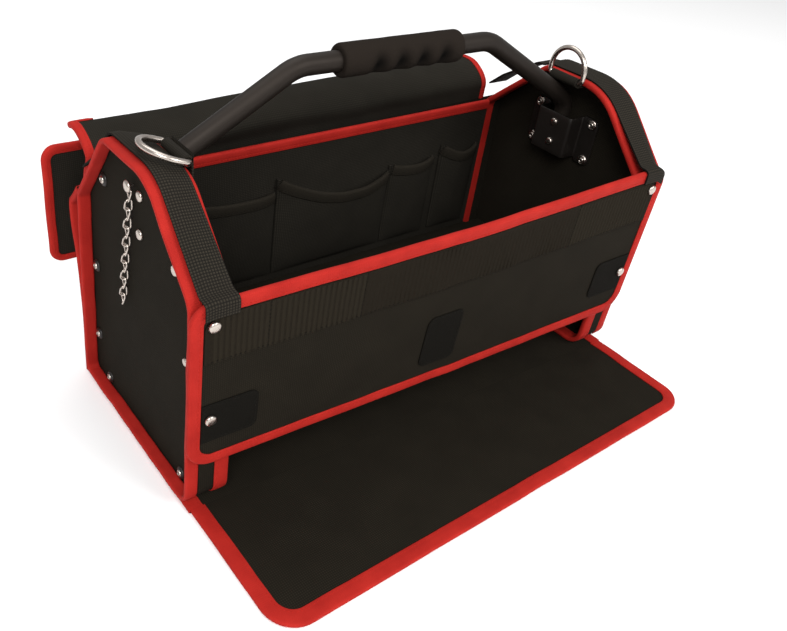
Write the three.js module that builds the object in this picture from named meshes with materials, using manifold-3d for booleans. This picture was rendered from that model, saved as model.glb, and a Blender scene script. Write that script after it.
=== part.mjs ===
// Open tool bag: two six-sided end pans, a front panel, a base with a front flap, a back wall with a
// folded-back lid, a row of inner pockets, a fixed tube handle, two D-rings and a chain.
// Millimetres. +X runs along the bag, -Y is the front and +Z is up.
// The origin is the middle of the base, on the floor.
import * as THREE from "three";
import { mergeVertices } from "three/addons/utils/BufferGeometryUtils.js";
import Module from "manifold-3d";

const wasm = await Module();
wasm.setup();

// Clearances and cloth
const gap = 0.3;
const cloth = 2.4;
const halfCloth = cloth / 2;
const tape = 1.2;
const webbing = 1.5;
const normalStep = 0.4;
const tiny = 1e-6;
const weld = 1e-4;

// Outline of the end pans in the YZ plane, on the outer face of the gusset
const panCorners = [
  { name: "front_bottom", a: -95, b: 4.6, r: 16 },
  { name: "front_shoulder", a: -101, b: 194, r: 18 },
  { name: "top_front", a: -38, b: 257 },
  { name: "top_back", a: 32, b: 256, r: 14 },
  { name: "back_shoulder", a: 88, b: 187, r: 12 },
  { name: "back_bottom", a: 99, b: 4.6, r: 8 },
];
const pan = {
  inner: 207,
  outer: 231,
  panelInside: 228.3,
  wall: 2.4,
  stepAngle: 0.3,
  sagStart: 227.5,
  sagFrom: 0.1,
  sagTo: 0.6,
};
const sides = {
  left: { sign: -1, sag: 5.5, cornerDrop: 1, shoulderBack: 0, shoulderUp: 0, crown: 40, name: "left" },
  right: { sign: 1, sag: 1, cornerDrop: 9, shoulderBack: 12, shoulderUp: 10, crown: 60, name: "right" },
};
const fin = { from: 231.3, to: 242, under: -3.7, over: 0.4, round: 1.6 };
const gussetTape = { from: 205.2, to: 218, slack: 0.2 };
const rim = { from: 210, to: 235, lift: 2.55, standOff: 0.9, backBend: 0.6, backDrop: 0.8, backCurl: 3.2 };
const rimTail = [
  { name: "leave", a: 45.5, b: 253.8 },
  { name: "rise", a: 68, b: 239.5 },
  { name: "bow", a: 86, b: 228 },
  { name: "end", a: 102, b: 214 },
];
const rimClimb = [
  { name: "hem", back: 0.3, rise: -9, na: -1, nb: 0 },
  { name: "face", back: 0, rise: -1.5, na: -1, nb: 0 },
  { name: "turn", back: 0.2, rise: 1.8, na: -0.88, nb: 0.47 },
  { name: "crest", back: 2.4, rise: 3.2, na: -0.3, nb: 0.95 },
  { name: "landing", back: 9.5, rise: 3.2, na: -0.3, nb: 0.95 },
];

// Front panel
const front = {
  middle: -4,
  half: 239.3,
  bottomLeft: 53.5,
  bottomRight: 50.5,
  topLeft: 196,
  topRight: 204.5,
  height: 148,
  bulge: 5,
  bulgeLow: 0.25,
  offset: 4.5,
  bottomRadius: 20,
  bottomSteps: 4,
  topRadius: 16,
  topSteps: 3,
  tapeReach: 8.5,
};
const frontRowShares = [0.42, 0.7];
const frontColumns = [0, 0.05, 0.18, 0.34, 0.5, 0.66, 0.82, 0.95, 1];
const band = { lift: 2.2, halfThick: 0.6 };
const bandSpans = [
  { name: "low", v: 98.5, half: 230 },
  { name: "corner", v: 130.5, half: 230 },
  { name: "high", v: 139, half: 220 },
];
const bandColumns = [0, 0.15, 0.325, 0.5, 0.675, 0.85, 1];
const patches = [
  { name: "left", from: -230, to: -184, low: 23, high: 60 },
  { name: "middle", from: -27, to: 11, low: 19, high: 71 },
  { name: "right", from: 184, to: 230, low: 25, high: 63 },
];
const patch = { lift: 2.2, halfThick: 0.6 };
const patchColumns = [0, 0.5, 1];
const frontRivet = { out: 223.5, radius: 4.6, height: 2.6, lift: 3.1 };
const frontRivetRows = [
  { name: "low", v: 45.6 },
  { name: "high", v: 131 },
];

// Base, flap and back wall
const wrap = { half: 238.5, tapeReach: 11, baseFront: -96.8, baseBack: 100.4 };
const flap = {
  half: 237,
  frontMiddle: -216.3,
  skew: 0.045,
  fold: -97.4,
  depth: 119,
  radius: 25,
  steps: 5,
  tapeReach: 11,
};
const wallProfile = [
  { name: "foot", yl: 103.6, zl: 0.3, yr: 103.6, zr: 0.3 },
  { name: "low", yl: 101.6, zl: 50, yr: 103.7, zr: 50 },
  { name: "belly", yl: 101.4, zl: 110, yr: 103.9, zr: 110 },
  { name: "high", yl: 97.4, zl: 155, yr: 104.1, zr: 160 },
  { name: "top", yl: 93.2, zl: 187.8, yr: 104.3, zr: 198.2 },
];

// Lid: it rises from the wall's top, rolls over and hangs behind
const lidProfile = [
  { name: "root", yl: 93.4, zl: 188.4, yr: 104.3, zr: 198.8 },
  { name: "rise", yl: 90.5, zl: 201, yr: 104.3, zr: 206.5 },
  { name: "lean", yl: 83.5, zl: 214.5, yr: 105.3, zr: 214 },
  { name: "turn", yl: 88, zl: 221, yr: 108.5, zr: 219.8 },
  { name: "slope", yl: 99, zl: 226.8, yr: 115.5, zr: 225.8 },
  { name: "crest", yl: 110, zl: 230, yr: 125, zr: 230 },
  { name: "over", yl: 118.5, zl: 230.4, yr: 138, zr: 230.4 },
  { name: "roll", yl: 125, zl: 227.4, yr: 148, zr: 227.6 },
  { name: "drop", yl: 129, zl: 221.2, yr: 154.4, zr: 221 },
  { name: "fall", yl: 130.4, zl: 214, yr: 156.8, zr: 214 },
  { name: "ear", yl: 130.4, zl: 207, yr: 156.6, zr: 207 },
  { name: "hang", yl: 130.4, zl: 180, yr: 155.8, zr: 180 },
  { name: "low", yl: 131.5, zl: 145, yr: 150.5, zr: 145 },
  { name: "hem", yl: 131, zl: 101, yr: 143.5, zr: 99 },
];
const lid = {
  left: -232,
  right: 205,
  neck: 16,
  ear: 20.5,
  step: 0.6,
  earRadius: 11,
  earSteps: 3,
  tapeReach: 5.5,
};

// Inside
const floorPlate = {
  low: 54,
  high: 56.4,
  half: 227.8,
  inPan: 91,
  inner: 204.4,
  frontEdge: -96.6,
  backEdge: 95,
};
const pocketPanel = { half: 204, yLeft: 83, yRight: 93, low: 56.9, high: 199, tapeReach: 7.5 };
const pockets = [
  { name: "pocket_1", from: -200, to: -60, left: 172, middle: 158, right: 152, depth: 13 },
  { name: "pocket_2", from: -58, to: 75, left: 165, middle: 142.5, right: 147, depth: 14 },
  { name: "pocket_3", from: 77, to: 134, left: 152, middle: 150, right: 152, depth: 9 },
  { name: "pocket_4", from: 145, to: 195, left: 162, middle: 152, right: 156, depth: 9 },
];
const pocket = { bottom: 66, thick: 1.6, archPower: 0.5 };
const pocketColumns = [0, 0.1, 0.28, 0.5, 0.72, 0.9, 1];
const pocketRows = [0, 0.12, 0.5, 1];

// Handle
const handle = {
  y: 10,
  radius: 8,
  sides: 10,
  leg: 219.9,
  foot: 180,
  knee: 228.4,
  kneeRadius: 20,
  stepAngle: 0.27,
};
const bar = { z: 296, bend: 98, bendRadius: 40 };
const grip = {
  from: -60.5,
  to: 60,
  radius: 13,
  endRadius: 10.5,
  end: 4,
  bore: 8.35,
  sides: 14,
  dent: 3,
  dentWidth: 8,
  dentPower: 1.5,
  dentTurn: 40,
};
const gripDents = [-27, -4.5, 17.5, 40];
const bracket = {
  low: 177,
  high: 217,
  flangeLow: 173,
  flangeHigh: 219,
  flangeHalf: 40,
  hatHalf: 21,
  depth: 18.8,
  plate: 1.6,
  seat: 0.4,
};
const bracketScrew = { dy: 33.2, dz: 18, radius: 5.2, height: 3, sink: 0.4 };
const bracketRivet = { y: 8, low: 188, high: 208, radius: 3.8, height: 2.2, sink: 0.4 };

// Rings and their tabs
const ring = {
  half: 19.5,
  height: 27.5,
  wire: 2.3,
  sides: 8,
  cornerRadius: 4,
  archRadius: 19.3,
  stepAngle: 0.45,
};
const ringPlaces = {
  left: { x: 206.3, y: -14, z: 257.6, lean: 70 },
  right: { x: 200.4, y: 1.7, z: 254.4, lean: 0 },
};
const tab = {
  half: 16,
  bore: 2.65,
  curveSegments: 6,
  tailLength: 15,
  tailDrop: 0.8,
  tailOverlap: 0.5,
  drop: 14.2,
};

// Left end: chain and fasteners
const chain = {
  x: 235.4,
  topY: 3,
  topZ: 225.5,
  endY: 26,
  endZ: 120,
  wire: 1,
  wireSides: 5,
  overlap: 1.5,
};
const link = {
  length: 12.4,
  width: 6,
  flat: 0.01,
  stepAngle: 0.786,
  firstSpin: -20,
  evenSpin: -42,
  oddSpin: 48,
};
const chainRivet = {
  y: 2,
  z: 231,
  shank: 1,
  head: 4.6,
  seat: 231.3,
  neck: 238,
  top: 240.4,
  crown: 2.8,
  crownDrop: 0.4,
};
const faceRivet = { radius: 4.2, height: 2.4 };
const faceRivets = [
  { name: "top", y: -8, z: 227 },
  { name: "middle", y: -6, z: 196 },
  { name: "front", y: -61, z: 197 },
];
const smallRivet = { y: -76, z: 130, radius: 3.2, height: 2 };
const faceScrew = { radius: 5.4, height: 3 };
const faceScrews = [
  { name: "top", y: 56, z: 211 },
  { name: "back", y: 81.5, z: 122 },
  { name: "low", y: 86, z: 50 },
  { name: "bottom_back", y: 67, z: 14.5 },
  { name: "bottom_front", y: -68, z: 14.5 },
];

// Heads of rivets and of screws in cup washers: shares of the radius and of the height
const headSegments = 10;
const rivetHead = [[0, 0], [1, 0], [1, 0.22], [0.62, 0.82], [0, 1]];
const cupHead = [[0, 0], [1, 0], [1, 0.25], [0.72, 0.62], [0.58, 0.55], [0.42, 0.92], [0, 1]];

const finishes = {
  fabric: { color: 0x2a2622, roughness: 0.95, metalness: 0 },
  binding: { color: 0xc8322b, roughness: 0.85, metalness: 0 },
  webbing: { color: 0x2d2a26, roughness: 0.9, metalness: 0 },
  tube: { color: 0x2f2b29, roughness: 0.45, metalness: 0.4 },
  foam: { color: 0x242120, roughness: 1, metalness: 0 },
  chrome: { color: 0xd8d2cf, roughness: 0.2, metalness: 1 },
  blackMetal: { color: 0x26231f, roughness: 0.4, metalness: 0.8 },
};

const bag = new THREE.Group();
bag.name = "tool_bag";

function piece(name, geometry, finish) {
  const mesh = new THREE.Mesh(geometry, new THREE.MeshStandardMaterial(finishes[finish]));
  mesh.name = name;
  bag.add(mesh);
}

// A closed solid from points and triangles, turned to face outwards.
function solid(points, triangles) {
  const volume = triangles.reduce((sum, [i, j, k]) => {
    return sum + points[i].dot(new THREE.Vector3().crossVectors(points[j], points[k]));
  }, 0);
  const index = triangles.flatMap(([i, j, k]) => (volume > 0 ? [i, j, k] : [i, k, j]));
  return new THREE.BufferGeometry().setFromPoints(points).setIndex(index);
}

// A solid through rings of points. With caps it ends in flat faces, and without it closes on itself.
function loft(rings, caps) {
  const count = rings[0].length;
  const triangles = [];
  rings.forEach((_, i) => {
    if (caps && i === rings.length - 1) return;
    const near = i * count;
    const far = ((i + 1) % rings.length) * count;
    for (let j = 0; j < count; j++) {
      const k = (j + 1) % count;
      triangles.push([near + j, near + k, far + k], [near + j, far + k, far + j]);
    }
  });
  const end = (rings.length - 1) * count;
  (caps ?? []).forEach(([i, j, k]) => triangles.push([i, k, j], [end + i, end + j, end + k]));
  return solid(rings.flat(), triangles);
}

// Triangles that fill a flat section, wound the way its points run.
function sectionCaps(section) {
  const contour = section.map(([a, b]) => new THREE.Vector2(a, b));
  const forward = THREE.ShapeUtils.area(contour) > 0;
  return THREE.ShapeUtils.triangulateShape(contour, []).map(([i, j, k]) => {
    const turned = THREE.ShapeUtils.area([contour[i], contour[j], contour[k]]) > 0;
    return turned === forward ? [i, j, k] : [i, k, j];
  });
}

// A path with rounded corners in a plane: stations with a unit normal to the left of the way it runs.
function rounded(corners, stepAngle, loop) {
  const count = corners.length;
  const direction = (p, q) => new THREE.Vector2(q.a - p.a, q.b - p.b).normalize();
  return corners.flatMap((corner, i) => {
    const before = corners[(i + count - 1) % count];
    const after = corners[(i + 1) % count];
    const first = !loop && i === 0;
    const last = !loop && i === count - 1;
    const into = first ? direction(corner, after) : direction(before, corner);
    const out = last ? direction(before, corner) : direction(corner, after);
    const turn = Math.atan2(into.cross(out), into.dot(out));
    const normalAt = (angle) => {
      const d = into.clone().rotateAround(new THREE.Vector2(), angle);
      return new THREE.Vector2(-d.y, d.x);
    };
    if (first || last) {
      const n = normalAt(0);
      return [{ a: corner.a, b: corner.b, na: n.x, nb: n.y }];
    }
    const way = Math.sign(turn);
    const middle = normalAt(turn / 2);
    const reach = (way * corner.r) / Math.cos(turn / 2);
    const steps = Math.max(1, Math.ceil(Math.abs(turn) / stepAngle - tiny));
    return Array.from({ length: steps + 1 }, (_, k) => {
      const n = normalAt((turn * k) / steps);
      const arm = way * corner.r;
      return {
        a: corner.a + middle.x * reach - n.x * arm,
        b: corner.b + middle.y * reach - n.y * arm,
        na: n.x,
        nb: n.y,
      };
    });
  });
}

// A round wire along flat stations; place turns plane coordinates and an offset across the plane into space.
function wire(stations, radius, count, place, loop) {
  const section = Array.from({ length: count }, (_, j) => {
    const angle = (2 * Math.PI * (j + 0.5)) / count;
    return [radius * Math.cos(angle), radius * Math.sin(angle)];
  });
  const rings = stations.map((s) => {
    return section.map(([side, across]) => place(s.a + s.na * side, s.b + s.nb * side, across));
  });
  return loft(rings, loop ? null : sectionCaps(section));
}

// Adds a unit normal to a surface that gives a point for each flat (u, v).
function withNormal(surface) {
  return (u, v) => {
    const alongU = surface(u + normalStep, v).sub(surface(u - normalStep, v));
    const alongV = surface(u, v + normalStep).sub(surface(u, v - normalStep));
    return { p: surface(u, v), n: alongU.cross(alongV).normalize() };
  };
}

function raised(place, u, v, lift) {
  const { p, n } = place(u, v);
  return p.addScaledVector(n, lift);
}

// A cloth sheet over flat rows, each from lo to hi at its v, with a grid of columns.
function sheet(rows, columns, place, half, lift = 0) {
  const rings = rows.map((row) => {
    const us = columns.map((share) => row.lo + (row.hi - row.lo) * share);
    const face = us.map((u) => raised(place, u, row.v, lift + half));
    const back = us.map((u) => raised(place, u, row.v, lift - half));
    return [...face, ...back.reverse()];
  });
  return loft(rings, stripCaps(columns.length));
}

// Triangles that close a ring of two rows of points, the second running back.
function stripCaps(count) {
  return Array.from({ length: count - 1 }, (_, j) => {
    const k = 2 * count - 1 - j;
    return [
      [j, j + 1, k - 1],
      [j, k - 1, k],
    ];
  }).flat();
}

// The flat edge of such a sheet along the named sides, with the mitred way inwards at each point.
function sheetEdge(rows, columns, names) {
  const at = (row, share) => new THREE.Vector2(row.lo + (row.hi - row.lo) * share, row.v);
  const runs = {
    start: columns.map((share) => at(rows[0], share)),
    right: rows.map((row) => at(row, 1)),
    end: [...columns].reverse().map((share) => at(rows[rows.length - 1], share)),
    left: [...rows].reverse().map((row) => at(row, 0)),
  };
  const loop = names.length === 4;
  const all = names.flatMap((name) => runs[name]);
  const path = all.filter((p, i) => {
    const previous = i === 0 ? (loop ? all[all.length - 1] : null) : all[i - 1];
    return !previous || p.distanceTo(previous) > tiny;
  });
  const inward = (p, q) => new THREE.Vector2(p.y - q.y, q.x - p.x).normalize();
  return path.map((p, i) => {
    const before = i > 0 ? path[i - 1] : loop ? path[path.length - 1] : null;
    const after = i < path.length - 1 ? path[i + 1] : loop ? path[0] : null;
    const n1 = before ? inward(before, p) : inward(p, after);
    const n2 = after ? inward(p, after) : n1;
    const mitre = n1.clone().add(n2).divideScalar(1 + n1.dot(n2));
    return { u: p.x, v: p.y, iu: mitre.x, iv: mitre.y };
  });
}

// Tape swept along a sheet's edge: section points are an inset from the edge and a lift off the sheet.
function edgeTape(edge, section, place, loop) {
  const rings = edge.map(({ u, v, iu, iv }) => {
    return section.map(([inset, lift]) => raised(place, u + iu * inset, v + iv * inset, lift));
  });
  return loft(rings, loop ? null : sectionCaps(section));
}

// Tape folded over an edge, with a leg on each face.
function foldedTape(reach, half) {
  const near = half + gap;
  const far = near + tape;
  const edge = -gap - tape;
  const outside = [[reach, far], [edge, far], [edge, -far], [reach, -far]];
  return [...outside, [reach, -near], [-gap, -near], [-gap, near], [reach, near]];
}

// Tape over an edge that lies on the floor, with a leg on the upper face only.
function floorTape(reach, half) {
  const near = half + gap;
  const far = near + tape;
  const edge = -gap - tape;
  return [[reach, far], [edge, far], [edge, -half], [-gap, -half], [-gap, near], [reach, near]];
}

// Rows of a corner of the given radius: how far in the edge lies at each height above the corner's end.
function cornerRows(radius, steps) {
  return Array.from({ length: steps + 1 }, (_, k) => {
    const angle = (Math.PI / 2) * (k / steps);
    return { rise: radius * (1 - Math.cos(angle)), inset: radius * (1 - Math.sin(angle)) };
  });
}

// A sheet bent along a profile that passes from a left one to a right one; v is the mean running length.
function bent(profile, left, right) {
  const runs = [0];
  for (let i = 1; i < profile.length; i++) {
    const p = profile[i - 1];
    const q = profile[i];
    const mean = (Math.hypot(q.yl - p.yl, q.zl - p.zl) + Math.hypot(q.yr - p.yr, q.zr - p.zr)) / 2;
    runs.push(runs[i - 1] + mean);
  }
  const surface = (u, v) => {
    const i = Math.max(0, Math.min(profile.length - 2, runs.findIndex((run) => run > v) - 1));
    const cell = v >= runs[profile.length - 1] ? profile.length - 2 : i;
    const p = profile[cell];
    const q = profile[cell + 1];
    const along = (v - runs[cell]) / (runs[cell + 1] - runs[cell]);
    const across = (u - left) / (right - left);
    const mix = THREE.MathUtils.lerp;
    const y = mix(mix(p.yl, q.yl, along), mix(p.yr, q.yr, along), across);
    const z = mix(mix(p.zl, q.zl, along), mix(p.zr, q.zr, along), across);
    return new THREE.Vector3(u, y, z);
  };
  return { runs, place: withNormal(surface) };
}

// One body from several that overlap.
function fused(geometries) {
  const bodies = geometries.map((geometry) => {
    const bare = new THREE.BufferGeometry().setAttribute("position", geometry.getAttribute("position"));
    bare.setIndex(geometry.index);
    const merged = mergeVertices(bare, weld);
    return new wasm.Manifold(
      new wasm.Mesh({
        numProp: 3,
        vertProperties: new Float32Array(merged.getAttribute("position").array),
        triVerts: new Uint32Array(merged.index.array),
      }),
    );
  });
  const joined = wasm.Manifold.union(bodies).getMesh();
  return new THREE.BufferGeometry()
    .setAttribute("position", new THREE.BufferAttribute(new Float32Array(joined.vertProperties), 3))
    .setIndex(new THREE.BufferAttribute(new Uint32Array(joined.triVerts), 1));
}

function block(x0, x1, y0, y1, z0, z1) {
  const box = new THREE.BoxGeometry(Math.abs(x1 - x0), Math.abs(y1 - y0), Math.abs(z1 - z0));
  return box.translate((x0 + x1) / 2, (y0 + y1) / 2, (z0 + z1) / 2);
}

// A turned head on a seat, pointing along axis.
function dome(shares, seat, axis, radius, height) {
  const profile = shares.map(([r, h]) => new THREE.Vector2(r * radius, h * height));
  const turned = new THREE.LatheGeometry(profile, headSegments);
  const turn = new THREE.Quaternion().setFromUnitVectors(new THREE.Vector3(0, 1, 0), axis);
  return turned.applyQuaternion(turn).translate(seat.x, seat.y, seat.z);
}

// End pans
const clamp = THREE.MathUtils.clamp;
function panOutline(side) {
  const corners = panCorners.map((corner) => {
    if (corner.name === "top_front") return { ...corner, r: side.crown };
    if (corner.name !== "back_shoulder") return corner;
    return { ...corner, a: corner.a + side.shoulderBack, b: corner.b + side.shoulderUp };
  });
  return rounded(corners, pan.stepAngle, true).map((station) => {
    return { ...station, share: clamp((station.nb - pan.sagFrom) / (pan.sagTo - pan.sagFrom), 0, 1) };
  });
}

// A point of a pan: its distance out along X and its lift off the outline. The upper gusset sinks inwards.
function panPoint(side, station, x, lift) {
  const inwards = Math.max(0, (pan.sagStart - x) / (pan.sagStart - pan.inner));
  const r = lift - side.sag * station.share * inwards;
  return new THREE.Vector3(side.sign * x, station.a + station.na * r, station.b + station.nb * r);
}

function panRing(side, section) {
  return loft(panOutline(side).map((s) => section.map(([x, lift]) => panPoint(side, s, x, lift))), null);
}

// The tape's two legs and its fold round the gusset's inner edge.
function gussetTapeSection() {
  const over = gap + tape;
  const under = -pan.wall - gap - gussetTape.slack;
  const fold = gussetTape.from + tape;
  return [
    [gussetTape.to, over],
    [gussetTape.from, over],
    [gussetTape.from, under - tape],
    [gussetTape.to, under - tape],
    [gussetTape.to, under],
    [fold, under],
    [fold, gap],
    [gussetTape.to, gap],
  ];
}

const alongFront = (u, left, right) => THREE.MathUtils.mapLinear(u, -front.half, front.half, left, right);
const frontTop = (u) => alongFront(u, front.topLeft, front.topRight);
const frontBottom = (u) => alongFront(u, front.bottomLeft, front.bottomRight);

// The webbing's middle line in the YZ plane, from its front end on the front panel's face, over the panel's
// upper edge, up the front slope and over the top. At the left it lies on the back slope, and at the right
// its free end stands off. Its outer edge follows the panel's round corner.
function rimPath(side) {
  const onGusset = panOutline(side).filter((s) => s.share === 1);
  const backSlope = onGusset[onGusset.length - 1];
  const slopeTop = onGusset[onGusset.length - 2];
  const onBack = (t, curl) => ({
    ...backSlope,
    a: THREE.MathUtils.lerp(slopeTop.a, backSlope.a, t),
    b: THREE.MathUtils.lerp(slopeTop.b, backSlope.b, t),
    curl,
  });
  const top = frontTop(side.sign * ((rim.from + rim.to) / 2) - front.middle);
  const layers = halfCloth + tape + 2 * gap + webbing / 2 + rim.standOff;
  const face = panCorners[1].a - front.offset - layers;
  const climb = rimClimb.map(({ back, rise, na, nb }) => {
    return { a: face + back, b: top + rise, na, nb, curl: -rim.lift, share: 0, drop: side.cornerDrop };
  });
  const slope = onGusset.slice(1, -1).map((s) => ({ ...s, curl: 0 }));
  const lying = [onBack(rim.backBend, 0), onBack(rim.backDrop, rim.backCurl)];
  const standing = rimTail.map((p, i) => {
    const before = rimTail[Math.max(0, i - 1)];
    const after = rimTail[Math.min(rimTail.length - 1, i + 1)];
    const way = new THREE.Vector2(after.a - before.a, after.b - before.b).normalize();
    return { a: p.a, b: p.b, na: -way.y, nb: way.x, curl: -rim.lift, share: 0 };
  });
  return [...climb, ...slope, ...(side.name === "right" ? standing : lying)];
}

function rimWebbing(side) {
  const low = rim.lift - webbing / 2;
  const high = rim.lift + webbing / 2;
  const section = [
    [rim.to, low],
    [pan.sagStart, low],
    [rim.from, low],
    [rim.from, high],
    [pan.sagStart, high],
    [rim.to, high],
  ];
  const rings = rimPath(side).map((s) => {
    return section.map(([x, lift]) => {
      const point = panPoint(side, s, x, lift + s.curl);
      point.z -= x === rim.to && s.drop ? s.drop : 0;
      return point;
    });
  });
  return loft(rings, sectionCaps(section));
}

for (const side of Object.values(sides)) {
  const inset = -pan.wall - gap;
  const panelOutline = panOutline(side).map((s) => [s.a + s.na * inset, s.b + s.nb * inset]);
  const panelRing = (x) => panelOutline.map(([y, z]) => new THREE.Vector3(side.sign * x, y, z));
  const panelRings = [panelRing(pan.panelInside), panelRing(pan.outer)];
  piece(`end_panel_${side.name}`, loft(panelRings, sectionCaps(panelOutline)), "fabric");
  const gussetSection = [
    [pan.inner, 0],
    [gussetTape.to, 0],
    [pan.sagStart, 0],
    [pan.outer, 0],
    [pan.outer, -pan.wall],
    [pan.sagStart, -pan.wall],
    [gussetTape.to, -pan.wall],
    [pan.inner, -pan.wall],
  ];
  piece(`end_gusset_${side.name}`, panRing(side, gussetSection), "fabric");
  const finSection = [
    [fin.from, fin.under],
    [fin.to - fin.round, fin.under],
    [fin.to, fin.under + fin.round],
    [fin.to, fin.over - fin.round],
    [fin.to - fin.round, fin.over],
    [fin.from, fin.over],
  ];
  piece(`end_piping_${side.name}`, panRing(side, finSection), "binding");
  piece(`gusset_binding_${side.name}`, panRing(side, gussetTapeSection()), "binding");
  piece(`rim_webbing_${side.name}`, rimWebbing(side), "webbing");
}

// Front panel, leaning with the pans and bulging forwards at mid-length
const frontPlace = withNormal((u, v) => {
  const z = frontBottom(u) + (v / front.height) * (frontTop(u) - frontBottom(u));
  const foot = panCorners[0];
  const shoulder = panCorners[1];
  const lean = THREE.MathUtils.mapLinear(z, foot.b, shoulder.b, foot.a, shoulder.a);
  const swell = THREE.MathUtils.lerp(front.bulgeLow, 1, clamp(v / front.height, 0, 1));
  const bulge = front.bulge * swell * (1 - (u / front.half) ** 2) ** 2;
  return new THREE.Vector3(u + front.middle, lean - front.offset - bulge, z);
});
const frontRow = (v, inset) => ({ v, lo: -front.half + inset, hi: front.half - inset });
const frontRows = [
  ...cornerRows(front.bottomRadius, front.bottomSteps).map(({ rise, inset }) => frontRow(rise, inset)),
  ...frontRowShares.map((share) => frontRow(front.height * share, 0)),
  ...cornerRows(front.topRadius, front.topSteps)
    .reverse()
    .map(({ rise, inset }) => frontRow(front.height - rise, inset)),
];
const frontEdge = sheetEdge(frontRows, frontColumns, ["start", "right", "end", "left"]);
piece("front_panel", sheet(frontRows, frontColumns, frontPlace, halfCloth), "fabric");
const frontTape = foldedTape(front.tapeReach, halfCloth);
piece("front_panel_binding", edgeTape(frontEdge, frontTape, frontPlace, true), "binding");

const bandRows = bandSpans.map(({ v, half }) => ({ v, lo: -half, hi: half }));
piece("front_webbing_band", sheet(bandRows, bandColumns, frontPlace, band.halfThick, band.lift), "webbing");
for (const { name, from, to, low, high } of patches) {
  const rows = [low, high].map((v) => ({ v, lo: from, hi: to }));
  const cut = sheet(rows, patchColumns, frontPlace, patch.halfThick, patch.lift);
  piece(`fastener_patch_${name}`, cut, "webbing");
}
for (const side of Object.values(sides)) {
  for (const { name, v } of frontRivetRows) {
    const { p, n } = frontPlace(side.sign * frontRivet.out, v);
    const seat = p.addScaledVector(n, frontRivet.lift);
    const head = dome(rivetHead, seat, n, frontRivet.radius, frontRivet.height);
    piece(`front_rivet_${side.name}_${name}`, head, "chrome");
  }
}

// Base and the flap that lies open in front of it
const basePlace = withNormal((u, v) => new THREE.Vector3(u, v, halfCloth));
const baseRows = [wrap.baseFront, wrap.baseBack].map((v) => ({ v, lo: -wrap.half, hi: wrap.half }));
const edgeColumns = [0, 1];
piece("base_panel", sheet(baseRows, edgeColumns, basePlace, halfCloth), "fabric");
for (const side of Object.values(sides)) {
  const edge = sheetEdge(baseRows, edgeColumns, [side.name]);
  const strip = edgeTape(edge, floorTape(wrap.tapeReach, halfCloth), basePlace, false);
  piece(`base_binding_${side.name}`, strip, "binding");
}

const flapPlace = withNormal((u, v) => {
  const frontLine = flap.frontMiddle + flap.skew * u;
  return new THREE.Vector3(u, frontLine + (v / flap.depth) * (flap.fold - frontLine), halfCloth);
});
const flapRow = (v, inset) => ({ v, lo: -flap.half + inset, hi: flap.half - inset });
const flapRows = [
  ...cornerRows(flap.radius, flap.steps).map(({ rise, inset }) => flapRow(rise, inset)),
  flapRow(flap.depth, 0),
];
piece("front_flap", sheet(flapRows, edgeColumns, flapPlace, halfCloth), "fabric");
const flapEdge = sheetEdge(flapRows, edgeColumns, ["left", "start", "right"]);
const flapTape = edgeTape(flapEdge, floorTape(flap.tapeReach, halfCloth), flapPlace, false);
piece("front_flap_binding", flapTape, "binding");

// Back wall, slightly bellied at the left
const wall = bent(wallProfile, -wrap.half, wrap.half);
const wallRows = wall.runs.map((v) => ({ v, lo: -wrap.half, hi: wrap.half }));
piece("back_wall", sheet(wallRows, [0, 0.5, 1], wall.place, halfCloth), "fabric");
for (const side of Object.values(sides)) {
  const edge = sheetEdge(wallRows, edgeColumns, [side.name]);
  const strip = edgeTape(edge, foldedTape(wrap.tapeReach, halfCloth), wall.place, false);
  piece(`back_binding_${side.name}`, strip, "binding");
}

// Lid, cut in behind its crest, with an ear at each side of its hanging part
const lidBend = bent(lidProfile, lid.left, lid.right);
const neckAt = lidProfile.findIndex((row) => row.name === "over");
const earAt = lidProfile.findIndex((row) => row.name === "ear");
const hem = lidBend.runs[lidBend.runs.length - 1];
const neckTop = lidBend.runs[neckAt] + lid.tapeReach;
const lidRow = (v, out) => ({ v, lo: lid.left - out, hi: lid.right + out });
const earTop = cornerRows(lid.earRadius, lid.earSteps).map(({ rise, inset }) => {
  return lidRow(lidBend.runs[earAt] + lid.step + rise, lid.ear - inset);
});
const earFoot = cornerRows(lid.earRadius, lid.earSteps).reverse();
const lidRows = [
  ...lidBend.runs.slice(0, neckAt + 1).map((v) => lidRow(v, 0)),
  lidRow(neckTop, 0),
  lidRow(neckTop + lid.step, -lid.neck),
  ...lidBend.runs.slice(neckAt + 1, earAt + 1).map((v) => lidRow(v, -lid.neck)),
  ...earTop,
  ...lidBend.runs.slice(earAt + 1, -1).map((v) => lidRow(v, lid.ear)),
  ...earFoot.map(({ rise, inset }) => lidRow(hem - rise, lid.ear - inset)),
];
const lidColumns = [0, 0.5, 1];
piece("lid", sheet(lidRows, lidColumns, lidBend.place, halfCloth), "fabric");
const lidEdge = sheetEdge(lidRows, lidColumns, ["right", "end", "left"]);
const lidTape = edgeTape(lidEdge, foldedTape(lid.tapeReach, halfCloth), lidBend.place, false);
piece("lid_binding", lidTape, "binding");

// Floor of the upper compartment, reaching into both pans
const floorHalf = [
  [floorPlate.inner, floorPlate.frontEdge],
  [floorPlate.inner, -floorPlate.inPan],
  [floorPlate.half, -floorPlate.inPan],
  [floorPlate.half, floorPlate.inPan],
  [floorPlate.inner, floorPlate.inPan],
  [floorPlate.inner, floorPlate.backEdge],
];
const floorOutline = [...floorHalf, ...[...floorHalf].reverse().map(([x, y]) => [-x, y])];
const floorRing = (z) => floorOutline.map(([x, y]) => new THREE.Vector3(x, y, z));
const floorRings = [floorRing(floorPlate.low), floorRing(floorPlate.high)];
piece("compartment_floor", loft(floorRings, sectionCaps(floorOutline)), "fabric");

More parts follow.
